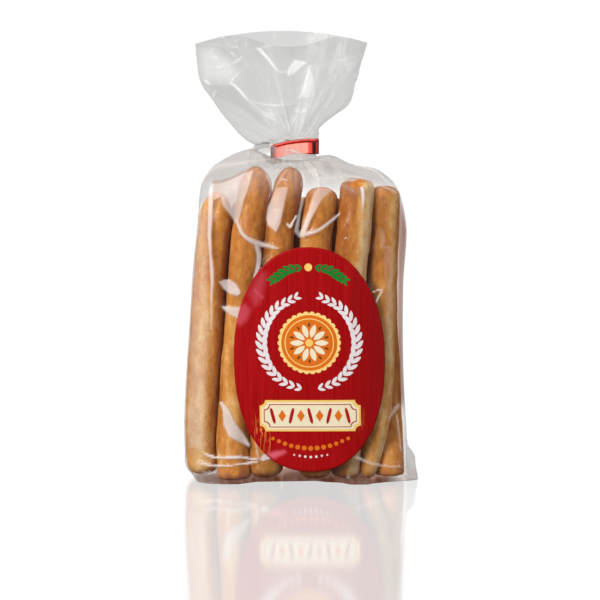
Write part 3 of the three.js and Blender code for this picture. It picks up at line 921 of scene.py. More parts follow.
def gridNormals(points):
    around = np.roll(points, -1, 1) - np.roll(points, 1, 1)
    along = np.gradient(points, axis=0)
    normals = np.cross(around, along)
    size = np.linalg.norm(normals, axis=-1, keepdims=True)
    return normals / np.maximum(size, 1e-9)


# The film's see-through tints are painted: grey stands in for the dim room mirrored in it and for shade,
# warm for the bread mirrored in it and its shade at the foot; milk is the colour of its haze and its painted
# sheen.
filmLook = {"clear": (0.955, 0.955, 0.95), "grey": (0.45, 0.44, 0.43), "warm": (0.37, 0.11, 0.015),
            "facing": 0.009, "grazing": 0.75, "milk": (0.77, 0.7, 0.665)}
mouthLook = dict(filmLook, milk=(0.8, 0.8, 0.8), grey=(0.445, 0.45, 0.445))


def filmMaterial(name, look):
    material, tree = newMaterial(name)
    facing = addNode(tree, "ShaderNodeLayerWeight", {"Blend": 0.5}).outputs["Facing"]
    grazing = calc(tree, "POWER", facing, 5)
    mirror = calc(tree, "MULTIPLY_ADD", grazing, look["grazing"], look["facing"], clamp=True)
    ripple = objectNoise(tree, 420, (1, 1, 0.5), 2, 0.5)
    # painted shade and reflection: the see-through tint turns grey and warm by the attributes
    tint = mixColour(tree, attribute(tree, "grey"), look["clear"], look["grey"])
    tint = mixColour(tree, attribute(tree, "warm"), tint, look["warm"])
    clear = addNode(tree, "ShaderNodeBsdfTransparent", {"Color": tint})
    coat = {"Roughness": 0.12, "Normal": bumped(tree, ripple, 0.25, 0.0008)}
    wet = mixShader(tree, mirror, clear, addNode(tree, "ShaderNodeBsdfGlossy", coat))
    # the haze shader also shows the painted sheen
    hazeAndSheenInputs = {"Roughness": 0.5, "Base Color": look["milk"], "Specular IOR Level": 0.2}
    hazeAndSheen = addNode(tree, "ShaderNodeBsdfPrincipled", hazeAndSheenInputs)
    shown = mixShader(tree, attribute(tree, "milk"), wet, hazeAndSheen)
    addNode(tree, "ShaderNodeOutputMaterial", {0: shown})
    return material


def finishFilm(piece, material):
    piece.data.materials.append(material)
    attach(piece, "root")
    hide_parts("bag")


# Both long edges of the foot wander out and in over the floor: (x, how far they stand out).
hemLine = [(-62, 2.5), (-57, 8.5), (-48, 6), (-34, 4.6), (-24, -2), (8, -4.4), (14, -1.4), (23, 0.8),
           (27, 5.4), (36, 6), (40, 2.5), (48, 0)]
hemSettings = {"height": 7, "curve": 1.6}
# The shoulders' outline swells and dips: (x, how far it rises), and how wide each of these is.
shoulderHumps = [(17, 1.5), (31, -1.3)]
humpWidth = 7


def spreadHem(points, angles):
    x, z = points[..., 0], points[..., 2]
    side = np.sin(angles)[None, :]
    share = np.clip(1 - z / hemSettings["height"], 0, 1) ** hemSettings["curve"]
    spread = np.interp(x, *zip(*hemLine)) * share * smoothStep(np.abs(side), 0.3, 0.85)
    points[..., 1] += np.sign(side) * spread


def plainBody(settings, angles, places):
    # drawn in between the breadsticks, pushed out of them, spread at the foot, humped at the shoulders
    points = bagSurface(places, angles, filmGroove)
    balls = stickCapsules(breadsticks.values(), pushSettings)
    for _ in range(2):
        points = pushOut(points, balls, settings["stickGap"], pushSettings)
    spreadHem(points, angles)
    x, z = points[..., 0], points[..., 2]
    humps = sum(rise * np.exp(-((x - place) / humpWidth) ** 2) for place, rise in shoulderHumps)
    points[..., 2] += humps * smoothStep(z, 163, 171)
    return points


bodyFilm = {
    "clearMilk": 0.006, "shoulderMilk": 0.09, "footMilk": 0.02, "foldSheen": 0.09, "crumpleSheen": 0.02,
    "pleats": 0.6, "crumple": 0.2, "neck": (-3.5, 178), "folds": (13, 21, 34), "baseGrey": 0.1,
    "baseRise": 0.35, "lowest": 0.02,
}
# Painted reflection, where the bread beside it is mirrored in the film and colours it: how strongly, and
# over which stretches it comes in.
edgeTints = [
    (0.52, {"x": (52.6, 54.2), "z": (34, 46), "depth": (4, 11)}),
    (0.2, {"x": (53.6, 55.6), "z": (36, 48)}),
    (0.16, {"x": (-54.5, -58.5), "z": (8, 16)}),
]


# painted shade and reflection: the film at the foot is warmed and darkened, for the bread above mirrored in
# it and the shade under the breadsticks
def footWarmth(x):
    return (0.48 + 0.3 * smoothStep(x, -50, -38)) * (1 - 0.8 * smoothStep(x, 43, 55))


def edgeWarmth(x, y, z):
    places = {"x": x, "z": z, "depth": np.abs(y)}
    total = 0
    for strength, stretches in edgeTints:
        steps = [smoothStep(places[name], *stretch) for name, stretch in stretches.items()]
        total = total + strength * math.prod(steps)
    return total * smoothStep(z, 158, 148)


def bodyGrey(x, z, isFront, veils):
    # painted reflection and shade: the shoulders are greyed in the back wall, as the dim room mirrored in
    # them, so that the breadsticks' tips stay clear; the front takes the veils' painted shade, and the lower
    # right corner is greyed too
    back = (0.62 + 0.12 * smoothStep(x, -5, 25)) * smoothStep(z, 154, 166)
    front = np.maximum(0.05 * smoothStep(z, 162, 176), veils["shade"])
    corner = 0.4 * smoothStep(x, 56.5, 59.5) * smoothStep(z, 22, 16)
    return np.maximum(np.where(isFront, front, np.maximum(back, veils["grey"])), corner)


def closedBase(rim, settings, look):
    # the base closes inwards to one point
    shares = np.linspace(0, 1, settings["baseRings"] + 1)[1:-1]
    centre = rim.mean(0)
    rises = [(0, 0, look["baseRise"] * math.sin(math.pi * share)) for share in shares]
    return centre, [centre + (rim - centre) * share + rise for share, rise in zip(shares, rises)]


def makeFilmBody(settings, look, material):
    angles = filmAngles(settings["frontColumns"], settings["backColumns"])
    places = filmPlaces(0, neckPlace, settings["rowStep"])
    plain = plainBody(settings, angles, places)
    x, y, z = (plain[..., i] for i in range(3))
    isFront = np.broadcast_to(np.sin(angles)[None, :] < 0, x.shape)
    veils = veilFields(x, z, isFront, frontVeils, frontCreases)
    random = np.random.default_rng(settings["seed"])
    # gathers that run down over the shoulders from the neck
    neckX, neckZ = look["neck"]
    spoke = np.arctan2(z - neckZ, (x - neckX) * 0.9) + np.where(isFront, 0, 0.37)
    away = np.hypot(x - neckX, (z - neckZ) * 1.2)
    gather = smoothStep(z, 138, 168) * smoothStep(away, 3, 14)
    folds = foldFan(random, spoke, look["folds"], 2)
    crisp = waveField(random, x, z, 7, 14, 40)
    mottle = 0.8 + 0.2 * waveField(random, x, z, 6, 3, 14)
    loose = np.where(isFront, smoothStep(ovalShare(x, z, 1.9, 2.3), 0.95, 1.2), 1)
    crumple = np.exp(-np.abs(crisp) / 0.12) * smoothStep(veils["milk"], 0.1, 0) * loose
    shoulder = smoothStep(z, 150, 172)
    clear = smoothStep(veils["milk"], 0.3, 0)
    pleats = look["pleats"] * folds / 2 * gather * (1 - shoulder * 0.4) * (0.25 + 0.75 * clear)
    lift = (veils["lift"] + pleats + look["crumple"] * crumple) * smoothStep(z, 0.2, 5) * loose
    lift = lift * smoothStep(away, 6, 12)
    milk = np.maximum(veils["milk"], look["clearMilk"] + look["shoulderMilk"] * shoulder * clear)
    milk = np.maximum(milk, look["footMilk"] * smoothStep(z, 15, 3))
    # painted highlights: the film whitens along the folds and the crumples
    milk = milk + (look["foldSheen"] * folds * gather * shoulder + look["crumpleSheen"] * crumple) * clear
    # painted shade and reflection: the film is warmed at the foot and at the edges
    warm = np.maximum(footWarmth(x) * smoothStep(z, 8, 1.5) * mottle, edgeWarmth(x, y, z))
    warm = np.maximum(warm, veils["warm"])
    points = plain + gridNormals(plain) * lift[..., None]
    points[..., 2] = np.maximum(points[..., 2], look["lowest"])
    centre, base = closedBase(points[0], settings, look)
    allPoints = np.concatenate([[centre], *base, *points])
    columns = len(angles)
    faces = [[value + 1 for value in quad] for quad in gridFaces(len(base) + len(points), columns, True)]
    faces += [[0, 1 + (j + 1) % columns, 1 + j] for j in range(columns)]
    piece = meshPiece("filmBody", allPoints, faces)
    below = allPoints[:1 + len(base) * columns, 0]
    # the base is greyed and warmed as painted shade under the breadsticks
    storeValues(
        piece,
        milk=np.clip(np.concatenate([below * 0 + look["footMilk"], milk.ravel()]), 0, 0.92),
        grey=np.concatenate([below * 0 + look["baseGrey"], bodyGrey(x, z, isFront, veils).ravel()]),
        warm=np.concatenate([footWarmth(below), np.clip(warm, 0, 1).ravel()]))
    finishFilm(piece, material)
    return points, places, plain[:, np.sin(angles) < 0]


# The shoulder film is tucked up over the tie's left end: the height of the fold along x.
tuckCrest = [(-29, 180.4), (-27, 181.8), (-24.9, 184), (-20, 185.6), (-17.6, 185.4), (-16.2, 184),
             (-13, 182.6), (-10, 182.4), (-6.2, 182.2), (-4.1, 181.6), (-0.3, 180), (1.5, 178.9),
             (4.9, 175.6), (8, 171.6), (10, 169)]
tuckSettings = {"place": 8.15, "fold": -8.9, "inside": -7.9, "drop": -3.4, "bulge": 1.5, "rows": 26,
                "milk": 0.08}


def makeTuck(settings, body, places, material):
    row = body[np.abs(places - settings["place"]).argmin()]
    low, high = tuckCrest[0][0], tuckCrest[-1][0]
    picked = row[(row[:, 1] < 0) & (row[:, 0] > low) & (row[:, 0] < high)]
    picked = picked[np.argsort(picked[:, 0])]
    count = len(picked) * 3
    along = np.linspace(0, len(picked) - 1, count)
    base = np.stack([np.interp(along, np.arange(len(picked)), picked[:, i]) for i in range(3)], -1)
    x = base[:, 0]
    crest = np.stack([x, np.full(count, settings["fold"]), np.interp(x, *zip(*tuckCrest))], -1)
    edges = np.minimum(np.arange(count), np.arange(count)[::-1]) / count
    full = smoothStep(edges, 0, 0.12)
    pleat = 0.16 * np.abs(np.sin(along * 0.31)) + 0.08 * np.sin(along * 0.83)
    notch = smoothStep(x, -27, -24) * smoothStep(x, -15.6, -18)
    rows, milk, grey = [], [], []
    for share in np.linspace(0, 1, settings["rows"]):
        point = base + (crest - base) * share
        point[:, 1] -= (settings["bulge"] + pleat) * math.sin(math.pi * share) * full
        rows.append(point)
        # painted highlight: the film whitens along the crest's ridge and along the pleats
        ridgeSheen = smoothStep(share, 0.84, 0.95) * smoothStep(x, -7, -4)
        overTie = smoothStep(x, -17, -14.5) * smoothStep(share, 0.3, 0.6)
        plain = settings["milk"] * smoothStep(share, 0, 0.3)
        milk.append((plain + 0.4 * ridgeSheen + 0.08 * overTie + 0.3 * pleat * share) * full)
        # painted shade: the film is greyed high up in the notch of the crest
        grey.append((0.06 + 0.5 * notch * smoothStep(point[:, 2], 178.6, 180.8)) * full)
    # behind the crest the film turns down into the bag
    for share in (0.35, 1):
        rows.append(crest + np.array((0, settings["inside"] - settings["fold"], settings["drop"])) * share)
        milk.append(settings["milk"] * full)
        grey.append(grey[-1])
    piece = meshPiece("filmTuck", np.concatenate(rows), gridFaces(len(rows), count, False))
    storeValues(piece, milk=np.clip(np.concatenate(milk), 0, 0.8), grey=np.concatenate(grey))
    finishFilm(piece, material)


mouthFilm = {
    "clearMilk": 0.06, "neckMilk": 0.1, "foldSheen": 0.12, "crumpleSheen": 0.05, "pleats": 1.0, "crumple": 0.4,
    "neck": (-3.5, 180), "folds": (13, 23, 37),
}
mouthVeils = {
    "crossStreak": veil(0.6, 0.5, 0.5, [
        (-24, 236.1), (-21.4, 236.1), (-16.5, 230.2), (-12, 224.3), (-13, 223.5), (-18.4, 230)]),
    "facet": veil(0.86, 1.1, 0.5, [
        (-7.6, 222.4), (-6.5, 225.7), (-3.4, 229.8), (3.4, 228.4), (0.8, 226.1), (-3.8, 222),
        (-6.2, 221.2)]),
    "spike": veil(0.7, 0.8, 0.7, [
        (4.5, 226.8), (6.1, 222.8), (7.8, 214.6), (8.4, 208.9), (-1.3, 209.1), (0.8, 214.6),
        (2.8, 221.2)], fade=((0.8, 213), (8.2, 210.5), 0.15)),
    "rightSoft": veil(0.5, 2.6, 0.2, [
        (19.8, 229.4), (24.7, 231), (31.7, 230.2), (32.6, 222.8), (29.7, 217.9), (27.2, 221.2),
        (22.3, 226.1)]),
    "leftSoft": veil(0.3, 4.5, 0, [
        (-55, 235.9), (-48, 236.8), (-38.1, 229.4), (-32.3, 221.1), (-36.9, 217), (-44.8, 217.8),
        (-53.1, 218.7), (-55.1, 226.9)]),
    "leftDark": veil(0, 1.4, 0, [
        (-51.4, 216.2), (-36.9, 217), (-29.1, 208.3), (-19.1, 199.7), (-12.5, 192.2), (-19.2, 193),
        (-32.4, 203), (-45.7, 208.8)], grey=0.42),
    "lowPatch": veil(0.4, 0.5, 0.3, [(-2.5, 204.3), (2.8, 201.8), (-0.9, 201), (-4.2, 201.8)]),
    "neckGlint": veil(0.55, 0.5, 0.2, [
        (-4.2, 188.6), (0.8, 189.7), (7.4, 188.8), (9.5, 187.6), (5.8, 187), (-0.9, 188)]),
}
mouthCreases = {
    "vShape": (0.4, 0.4, [(-12.4, 223.7, 0.3), (-10.1, 223.2, 0.3), (-7.5, 223.7, 0.3)]),
    "leftCrease": (0.65, 0.5, [
        (-38, 217.3, 0.2), (-36.9, 216.9, 0.4), (-33.6, 214.1, 0.6), (-29, 208.8, 0.3)]),
    "leftNick": (0.6, 0.2, [(-51.8, 218.7, 0.2), (-50.6, 217.6, 0.5), (-49.3, 216.8, 0.1)]),
    "lowerNick": (0.5, 0.2, [(-46, 213.3, 0.1), (-47.1, 211.5, 0.4), (-48.1, 209.6, 0.1)]),
    "lowCurve": (0.4, 0.4, [
        (-25.7, 207.6, 0.2), (-22.4, 206.4, 0.4), (-15.8, 205.5, 0.6), (-7.5, 205.5, 0.5),
        (-3.8, 206, 0.2)]),
    "longFold": (0.35, 0.5, [
        (-29, 209.2, 0.3), (-22.4, 203, 0.5), (-15.8, 198.9, 0.6), (-12.5, 196.4, 0.2)]),
    "rightOne": (0.26, 0.4, [(19, 220.3, 0.2), (15.3, 215.4, 0.4), (12, 208, 0.2)]),
    "rightTwo": (0.24, 0.4, [(25.6, 209.6, 0.2), (19.8, 203, 0.4), (15, 198, 0.2)]),
    "neckOne": (0.3, 0.5, [(-7.5, 192.2, 0.3), (-4.2, 196.3, 0.5), (-2.5, 199.7, 0.2)]),
    "neckTwo": (0.3, 0.5, [
        (-7.5, 191.4, 0.3), (-12.5, 196.3, 0.5), (-19.1, 199.7, 0.4), (-25.8, 203, 0.2)]),
    "neckThree": (0.3, 0.5, [(0, 192.2, 0.3), (3.3, 196.3, 0.5), (4.9, 199.7, 0.2)]),
}
# At the sides of the mouth the front rim lies against the back one, and it gapes only in the middle.
mouthGape = {"middle": -7, "open": 4, "shut": 36, "from": 205, "to": 240, "rise": 9.4}


def makeFilmMouth(settings, look, material):
    angles = filmAngles(settings["frontColumns"], settings["backColumns"])
    places = filmPlaces(neckPlace, len(bagSections) - 1, settings["mouthRowStep"])
    points = bagSurface(places, angles)
    isFront = np.broadcast_to(np.sin(angles)[None, :] < 0, points.shape[:2])
    shut = smoothStep(np.abs(points[..., 0] - mouthGape["middle"]), mouthGape["open"], mouthGape["shut"])
    shut = shut * smoothStep(points[..., 2], mouthGape["from"], mouthGape["to"]) * isFront
    points[..., 2] += mouthGape["rise"] * shut * np.sin(angles)[None, :] ** 2
    x, z = points[..., 0], points[..., 2]
    veils = veilFields(x, z, isFront, mouthVeils, mouthCreases)
    random = np.random.default_rng(settings["seed"] + 1)
    # folds fan out from the neck and die away towards the rim
    neckX, neckZ = look["neck"]
    spoke = np.arctan2(x - neckX, z - neckZ) + np.where(isFront, 0, 0.21)
    away = np.hypot(x - neckX, z - neckZ)
    folds = foldFan(random, spoke, look["folds"], 3)
    folds = folds * smoothStep(away, 5, 14) * (1 - 0.75 * smoothStep(away, 14, 52))
    crisp = waveField(random, x, z, 6, 16, 45)
    crumple = np.exp(-np.abs(crisp) / 0.1) * smoothStep(away, 12, 30)
    clear = smoothStep(veils["milk"], 0.3, 0)
    lift = (veils["lift"] + look["pleats"] * folds / 2 + look["crumple"] * crumple) * smoothStep(away, 7, 12)
    milk = look["clearMilk"] + look["neckMilk"] * smoothStep(away, 40, 8) * clear
    milk = np.maximum(veils["milk"], milk)
    # painted highlights: the film whitens along the folds and the crumples
    milk = milk + (look["foldSheen"] * folds + look["crumpleSheen"] * crumple) * clear
    # painted reflection: the mouth is greyed, more in the back wall and towards the rim, as the dim room
    # mirrored in it
    grey = np.where(isFront, 0.26, 0.42 + 0.16 * smoothStep(z, 225, 238))
    points = points + gridNormals(points) * lift[..., None]
    piece = meshPiece("filmMouth", points.reshape(-1, 3), gridFaces(len(places), len(angles), True))
    storeValues(piece, milk=np.clip(milk, 0, 0.9), grey=np.maximum(grey, veils["grey"]))
    finishFilm(piece, material)


clearFilm = filmMaterial("clearFilm", filmLook)
bodyPoints, bodyPlaces, frontFilm = makeFilmBody(filmSettings, bodyFilm, clearFilm)
makeTuck(tuckSettings, bodyPoints, bodyPlaces, clearFilm)
makeFilmMouth(filmSettings, mouthFilm, filmMaterial("mouthFilm", mouthLook))
print("film made")


# ---- label

labelSettings = {"rings": 60, "sides": 220, "overFilm": 0.2, "filmReadTo": 140}
# Where the print is rubbed off: the middle in (x, z), how wide and tall, and how much.
labelWear = [((-22, 30), (3.4, 9.5), 0.9), ((-17.5, 22), (1.4, 5), 0.7), ((33, 36), (1.6, 6), 0.35)]
# Where the film over the label catches the light: how strongly, how soft, and the outline.
labelShine = [
    (0.2, 3, [(-28.5, 104), (-24.5, 112.5), (-20.5, 116.5), (-18.4, 115), (-19.8, 107), (-22, 99),
              (-25.5, 97)]),
    (0.36, 1.2, [(-26.4, 106), (-25, 108), (-20, 102.4), (-21.2, 101)]),
    (0.28, 2.2, [(-36.8, 88), (-34.8, 97), (-30, 99), (-27, 95), (-29, 90), (-32.6, 86.5)]),
    (0.6, 0.9, [(-18.8, 16.5), (-13.9, 17.8), (-8.8, 18.4), (-7.6, 17.4), (-10.5, 15.7), (-15.1, 13.5)]),
]
# side is painted shade: the colour the label darkens to towards its right
labelColours = {"thread": ((0.28, 0.0008, 0.0008), (0.385, 0.004, 0.006)), "cloud": (0.2, 0.001, 0.003),
                "side": (0.2, 0.001, 0.002), "worn": (0.72, 0.24, 0.05), "shine": (0.8, 0.16, 0.22)}


def filmFrontAt(x, z):
    # how far forward the film stands at (x, z), read from the rows of its front
    heights = frontFilm[:, :, 2].mean(1)
    keep = int(np.searchsorted(heights, labelSettings["filmReadTo"]))
    place = np.interp(z, heights[:keep], np.arange(keep))
    low = np.clip(np.floor(place).astype(int), 0, keep - 2)
    found = np.zeros(x.shape)
    for row in np.unique(low):
        here = low == row
        below, above = (np.interp(x[here], frontFilm[r, :, 0], frontFilm[r, :, 1]) for r in (row, row + 1))
        found[here] = below + (above - below) * (place[here] - row)
    return found


def labelPoints(flat, lift):
    # a flat design in (u, w) from the label's middle, wrapped over the front of the bag
    u, w = flat[:, 0], flat[:, 1]
    x, z = ovalLabel["x"] + u - ovalLabel["lean"] * w, ovalLabel["z"] + w
    y = np.minimum(frontAt(x, z) - ovalLabel["gap"], filmFrontAt(x, z) - labelSettings["overFilm"])
    return np.stack([x, y - lift, z], -1)


def ovalOutline(share, count):
    turn = np.linspace(0, 2 * math.pi, count, endpoint=False)
    isLow = turn > math.pi
    power = 2 / np.where(isLow, ovalLabel["lowSquare"], ovalLabel["square"])
    c, s = (np.sign(v) * np.abs(v) ** power for v in (np.cos(turn), np.sin(turn)))
    halfHeight = ovalLabel["halfHeight"] + ovalLabel["lower"] * isLow
    return np.stack([share * ovalLabel["halfWidth"] * c, share * halfHeight * s], -1)


def plateMesh(outlines, low, high):
    # a thin closed plate between two lifts, through outlines from the innermost to the outermost;
    # a first outline of one point gives a filled shape, and any other a ring
    isFilled = len(outlines[0]) == 1
    rows = outlines[1:] if isFilled else outlines
    loop = [labelPoints(row, high) for row in rows] + [labelPoints(row, low) for row in rows[::-1]]
    sides = len(rows[0])
    points = np.concatenate(loop)
    if not isFilled:
        return points, ringFaces(len(loop), sides)
    first, last = len(points), len(points) + 1
    top = (len(loop) - 1) * sides
    faces = gridFaces(len(loop), sides, True)
    faces += [[first, (j + 1) % sides, j] for j in range(sides)]
    faces += [[last, top + j, top + (j + 1) % sides] for j in range(sides)]
    return np.concatenate([points, *(labelPoints(outlines[0], lift) for lift in (high, low))]), faces


def linenNoise(tree):
    return objectNoise(tree, 900, (1, 1, 0.035), 3, 0.65)


def labelMaterial(colours):
    material, tree = newMaterial("labelPaper")
    linen = linenNoise(tree)
    cloud = objectNoise(tree, 45, (1, 1, 0.5), 3, 0.5)
    colour = mixColour(tree, swing(tree, linen, 3, 0.5, clamp=True), *colours["thread"])
    colour = mixColour(tree, calc(tree, "MULTIPLY", cloud, 0.35), colour, colours["cloud"])
    # painted shade: darker towards the right side
    colour = mixColour(tree, attribute(tree, "side"), colour, colours["side"])
    scratch = objectNoise(tree, 1300, (1, 1, 0.06), 2, 0.7)
    wear = calc(tree, "MULTIPLY", attribute(tree, "wear"), calc(tree, "GREATER_THAN", scratch, 0.56))
    colour = mixColour(tree, wear, colour, colours["worn"])
    colour = mixColour(tree, attribute(tree, "shine"), colour, colours["shine"])
    rough = calc(tree, "MULTIPLY_ADD", linen, 0.2, 0.34)
    paint(tree, colour, rough, bumped(tree, linen, 0.3, 0.0002), 0.08)
    return material


def finishLabel(piece, material):
    piece.data.materials.append(material)
    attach(piece, "root")
    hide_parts("label")


def makeLabel(settings):
    shares = np.linspace(0, 1, settings["rings"] + 1)
    outlines = [np.zeros((1, 2)), *(ovalOutline(s, settings["sides"]) for s in shares[1:])]
    points, faces = plateMesh(outlines, 0, ovalLabel["thick"])
    piece = meshPiece("paperLabel", points, faces)
    x, z = points[:, 0], points[:, 2]
    wear, shine = np.zeros(len(points)), np.zeros(len(points))
    for (middleX, middleZ), (wide, tall), depth in labelWear:
        wear += depth * np.exp(-(((x - middleX) / wide) ** 2) - ((z - middleZ) / tall) ** 2)
    for strength, soft, outline in labelShine:
        share = smoothStep(insideDistance(x, z, outline), -0.7 * soft, soft)
        shine = np.maximum(shine, strength * share)
    # side is painted shade, darker towards the label's right
    storeValues(piece, wear=np.clip(wear, 0, 0.9), shine=shine, side=0.6 * smoothStep(x, 10, 47))
    finishLabel(piece, labelMaterial(labelColours))


makeLabel(labelSettings)
print("label made")


# ---- the label's print, as thin plates on the paper

printLift = {"low": ovalLabel["thick"] + 0.02, "high": ovalLabel["thick"] + 0.07, "over": 0.06}
printColours = {
    "white": ((0.74, 0.71, 0.73), (0.6, 0.52, 0.53)),
    "cream": ((0.76, 0.71, 0.55), (0.7, 0.58, 0.36)),
    "gold": ((0.74, 0.42, 0.07), (0.8, 0.56, 0.18)),
    "paleGold": ((0.84, 0.62, 0.24), (0.78, 0.48, 0.13)),
    "green": ((0.002, 0.14, 0.016), (0.008, 0.2, 0.03)),
    "orange": ((0.5, 0.085, 0.003), (0.72, 0.19, 0.01)),
    "brown": ((0.07, 0.025, 0.006), (0.16, 0.06, 0.012)),
    "red": ((0.3, 0.003, 0.005), (0.4, 0.008, 0.012)),
}


def ellipseShape(halfU, halfW, count=28):
    turn = np.linspace(0, 2 * math.pi, count, endpoint=False)
    return np.stack([halfU * np.cos(turn), halfW * np.sin(turn)], -1)


def grainShape(length, width, count=10):
    # a grain or leaf that is pointed at both ends, along +u
    along = np.linspace(0, 1, count)
    half = width / 2 * np.sin(math.pi * along) ** 0.75
    upper, lower = (np.stack([along * length, side * half], -1) for side in (1, -1))
    return np.concatenate([upper[:-1], lower[::-1][:-1]])


def ticketShape(halfU, halfW, notch, count=9):
    # a panel whose four corners are cut in by a round notch
    turn = np.linspace(0, math.pi / 2, count)
    corner = np.stack([halfU - notch * np.sin(turn), halfW - notch * np.cos(turn)], -1)
    quarters = [corner, (corner * (-1, 1))[::-1], corner * (-1, -1), (corner * (1, -1))[::-1]]
    across = np.linspace(0, 1, 24)[1:-1, None]
    outline = []
    for quarter, following in zip(quarters, [*quarters[1:], quarters[0]]):
        outline.extend(quarter)
        outline.extend(quarter[-1] + (following[0] - quarter[-1]) * across)
    return np.array(outline)


def starShape(radius, depth, points, count=8):
    turn = np.linspace(0, 2 * math.pi, points * count, endpoint=False)
    reach = radius - depth * (1 - np.abs(np.cos(points * turn / 2)) ** 0.7)
    return np.stack([reach * np.cos(turn), reach * np.sin(turn)], -1)


def turned(outline, angle):
    c, s = math.cos(angle), math.sin(angle)
    return outline @ np.array([[c, s], [-s, c]])


def motifTree():
    # copies of a motif stand along a curve, in pairs that lean to both sides of it or one by one
    tree, given = modifierTree("printedRow", {
        "Int": ("Count",), "Object": ("Motif",), "Float": ("Lean", "Middle Size", "End Size"),
        "Material": ("Ink",)})
    points = {"Curve": smoothedCurve(tree, given["Geometry"]), "Count": given["Count"]}
    placed = addNode(tree, "GeometryNodeCurveToPoints", points)
    motif = addNode(tree, "GeometryNodeObjectInfo", {"Object": given["Motif"]}).outputs["Geometry"]
    tangent = placed.outputs["Tangent"]
    heading = calc(tree, "ARCTAN2", part(tree, tangent, "Y"), part(tree, tangent, "X"))
    share = indexShare(tree, given["Count"])
    bow = calc(tree, "SINE", calc(tree, "MULTIPLY", share, math.pi))
    spread = calc(tree, "SUBTRACT", given["Middle Size"], given["End Size"])
    size = calc(tree, "MULTIPLY_ADD", bow, spread, given["End Size"])
    scale = addNode(tree, "ShaderNodeCombineXYZ", {"X": size, "Y": size, "Z": 1.0})
    sides = []
    for side in (1, -1):
        turn = calc(tree, "MULTIPLY_ADD", given["Lean"], side, heading)
        rotation = addNode(tree, "ShaderNodeCombineXYZ", {"Z": turn})
        inputs = {"Points": placed, "Instance": motif, "Rotation": rotation, "Scale": scale}
        sides.append(addNode(tree, "GeometryNodeInstanceOnPoints", inputs).outputs[0])
    pair = {"Switch": calc(tree, "GREATER_THAN", given["Lean"], 0.001), "True": sides[1]}
    second = addNode(tree, "GeometryNodeSwitch", pair, input_type="GEOMETRY")
    joined = tree.nodes.new("GeometryNodeJoinGeometry")
    tree.links.new(sides[0], joined.inputs[0])
    tree.links.new(second.outputs[0], joined.inputs[0])
    return closeTree(tree, joined, given["Ink"])


def arcPath(middle, radius, start, end, count=7):
    # points along an arc round a place in the design, its angles in degrees
    turn = np.radians(np.linspace(start, end, count))
    return np.stack([middle[0] + radius * np.cos(turn), middle[1] + radius * np.sin(turn)], -1)


# The design: a rosette in the middle inside a wreath, sprigs above it, and a panel with beads below it.
rosette = {"place": (0, 9), "outer": 17.2, "scallop": 1.1, "scallops": 30, "disc": 15.2,
           "ring": (12.9, 13.4), "sides": 120}
flower = {"petals": 10, "heart": 2.1}
# What stands round the flower: its colour, its length and width, where it starts, and its turn in petals.
flowerRings = [("cream", (7.6, 3.1), 2.9, 0), ("brown", (2.6, 1.2), 8.6, 0.5)]
wreath = {"colour": "white", "motif": grainShape(6.4, 2.4), "count": 18, "lean": 0.5, "sizes": (1, 0.66)}
wreathRadius = 25.6
sprig = {"colour": "green", "motif": grainShape(5.2, 2), "count": 7, "lean": 0.55, "sizes": (1, 0.75)}
sprigPath = np.array([(3.6, 50.2), (11, 48.6), (19, 43.6)])
sprigKnot = (0, 50.2)
printRows = [
    dict(wreath, path=arcPath(rosette["place"], wreathRadius, 260, 108)),
    dict(wreath, path=arcPath(rosette["place"], wreathRadius, -80, 72)),
    dict(sprig, path=sprigPath * (-1, 1)),
    dict(sprig, path=sprigPath),
    {"colour": "orange", "motif": ellipseShape(1.25, 1.25, 16), "count": 13, "lean": 0, "sizes": (1.1, 0.8),
     "path": [(-20.5, -43.6), (-10.5, -47.6), (0, -49), (10.5, -47.6), (20.5, -43.6)]},
    {"colour": "white", "motif": ellipseShape(0.75, 0.75, 12), "count": 7, "lean": 0, "sizes": (1, 0.7),
     "path": [(-9, -52.6), (0, -53.8), (9, -52.6)]},
]
panel = {"place": (0, -31), "halfU": 27.5, "halfW": 8.6, "notch": 3, "edge": 1.1, "line": 0.45, "inset": 2.2}
panelSticks = {"count": 5, "step": 10.2, "halfLength": 4.5, "halfWidth": 0.9, "blunt": 0.55, "lean": 0.24}
panelDiamond = (2.1, 3.3)


def wrappedMotifs(row, lift, tree, ink):
    # stands the motif along its path in the flat, then wraps the copies over the label
    outline = row["motif"]
    count = len(outline)
    flat = np.concatenate([np.c_[outline, np.full(count, height)] for height in (0, 1)])
    faces = [list(range(count, 2 * count)), list(range(count))[::-1]]
    faces += gridFaces(2, count, True)
    mesh = bpy.data.meshes.new("motif")
    mesh.from_pydata(flat.tolist(), [], faces)
    motif = linked("motif", mesh)
    source = lineCurve("row", np.c_[row["path"], np.zeros(len(row["path"]))])
    inputs = {"Count": row["count"], "Motif": motif, "Lean": row["lean"], "Ink": ink,
              "Middle Size": row["sizes"][0], "End Size": row["sizes"][1]}
    copies = bakedMesh("row", source, tree, inputs)
    co = np.array([v.co for v in copies.data.vertices]) * 1000
    faces = [list(face.vertices) for face in copies.data.polygons]
    bpy.data.objects.remove(copies)
    bpy.data.objects.remove(motif)
    low, high = lift
    return labelPoints(co, low + (high - low) * co[:, 2]), faces


def printMaterial(name, colours):
    material, tree = newMaterial(name + "Print")
    linen = linenNoise(tree)
    cloud = objectNoise(tree, 70, (1, 1, 0.7), 2, 0.5)
    share = calc(tree, "ADD", calc(tree, "MULTIPLY", linen, 0.6), calc(tree, "MULTIPLY", cloud, 0.4))
    rough = calc(tree, "MULTIPLY_ADD", linen, 0.2, 0.36)
    paint(tree, mixColour(tree, share, *colours), rough, bumped(tree, linen, 0.25, 0.0002), 0.15)
    return material


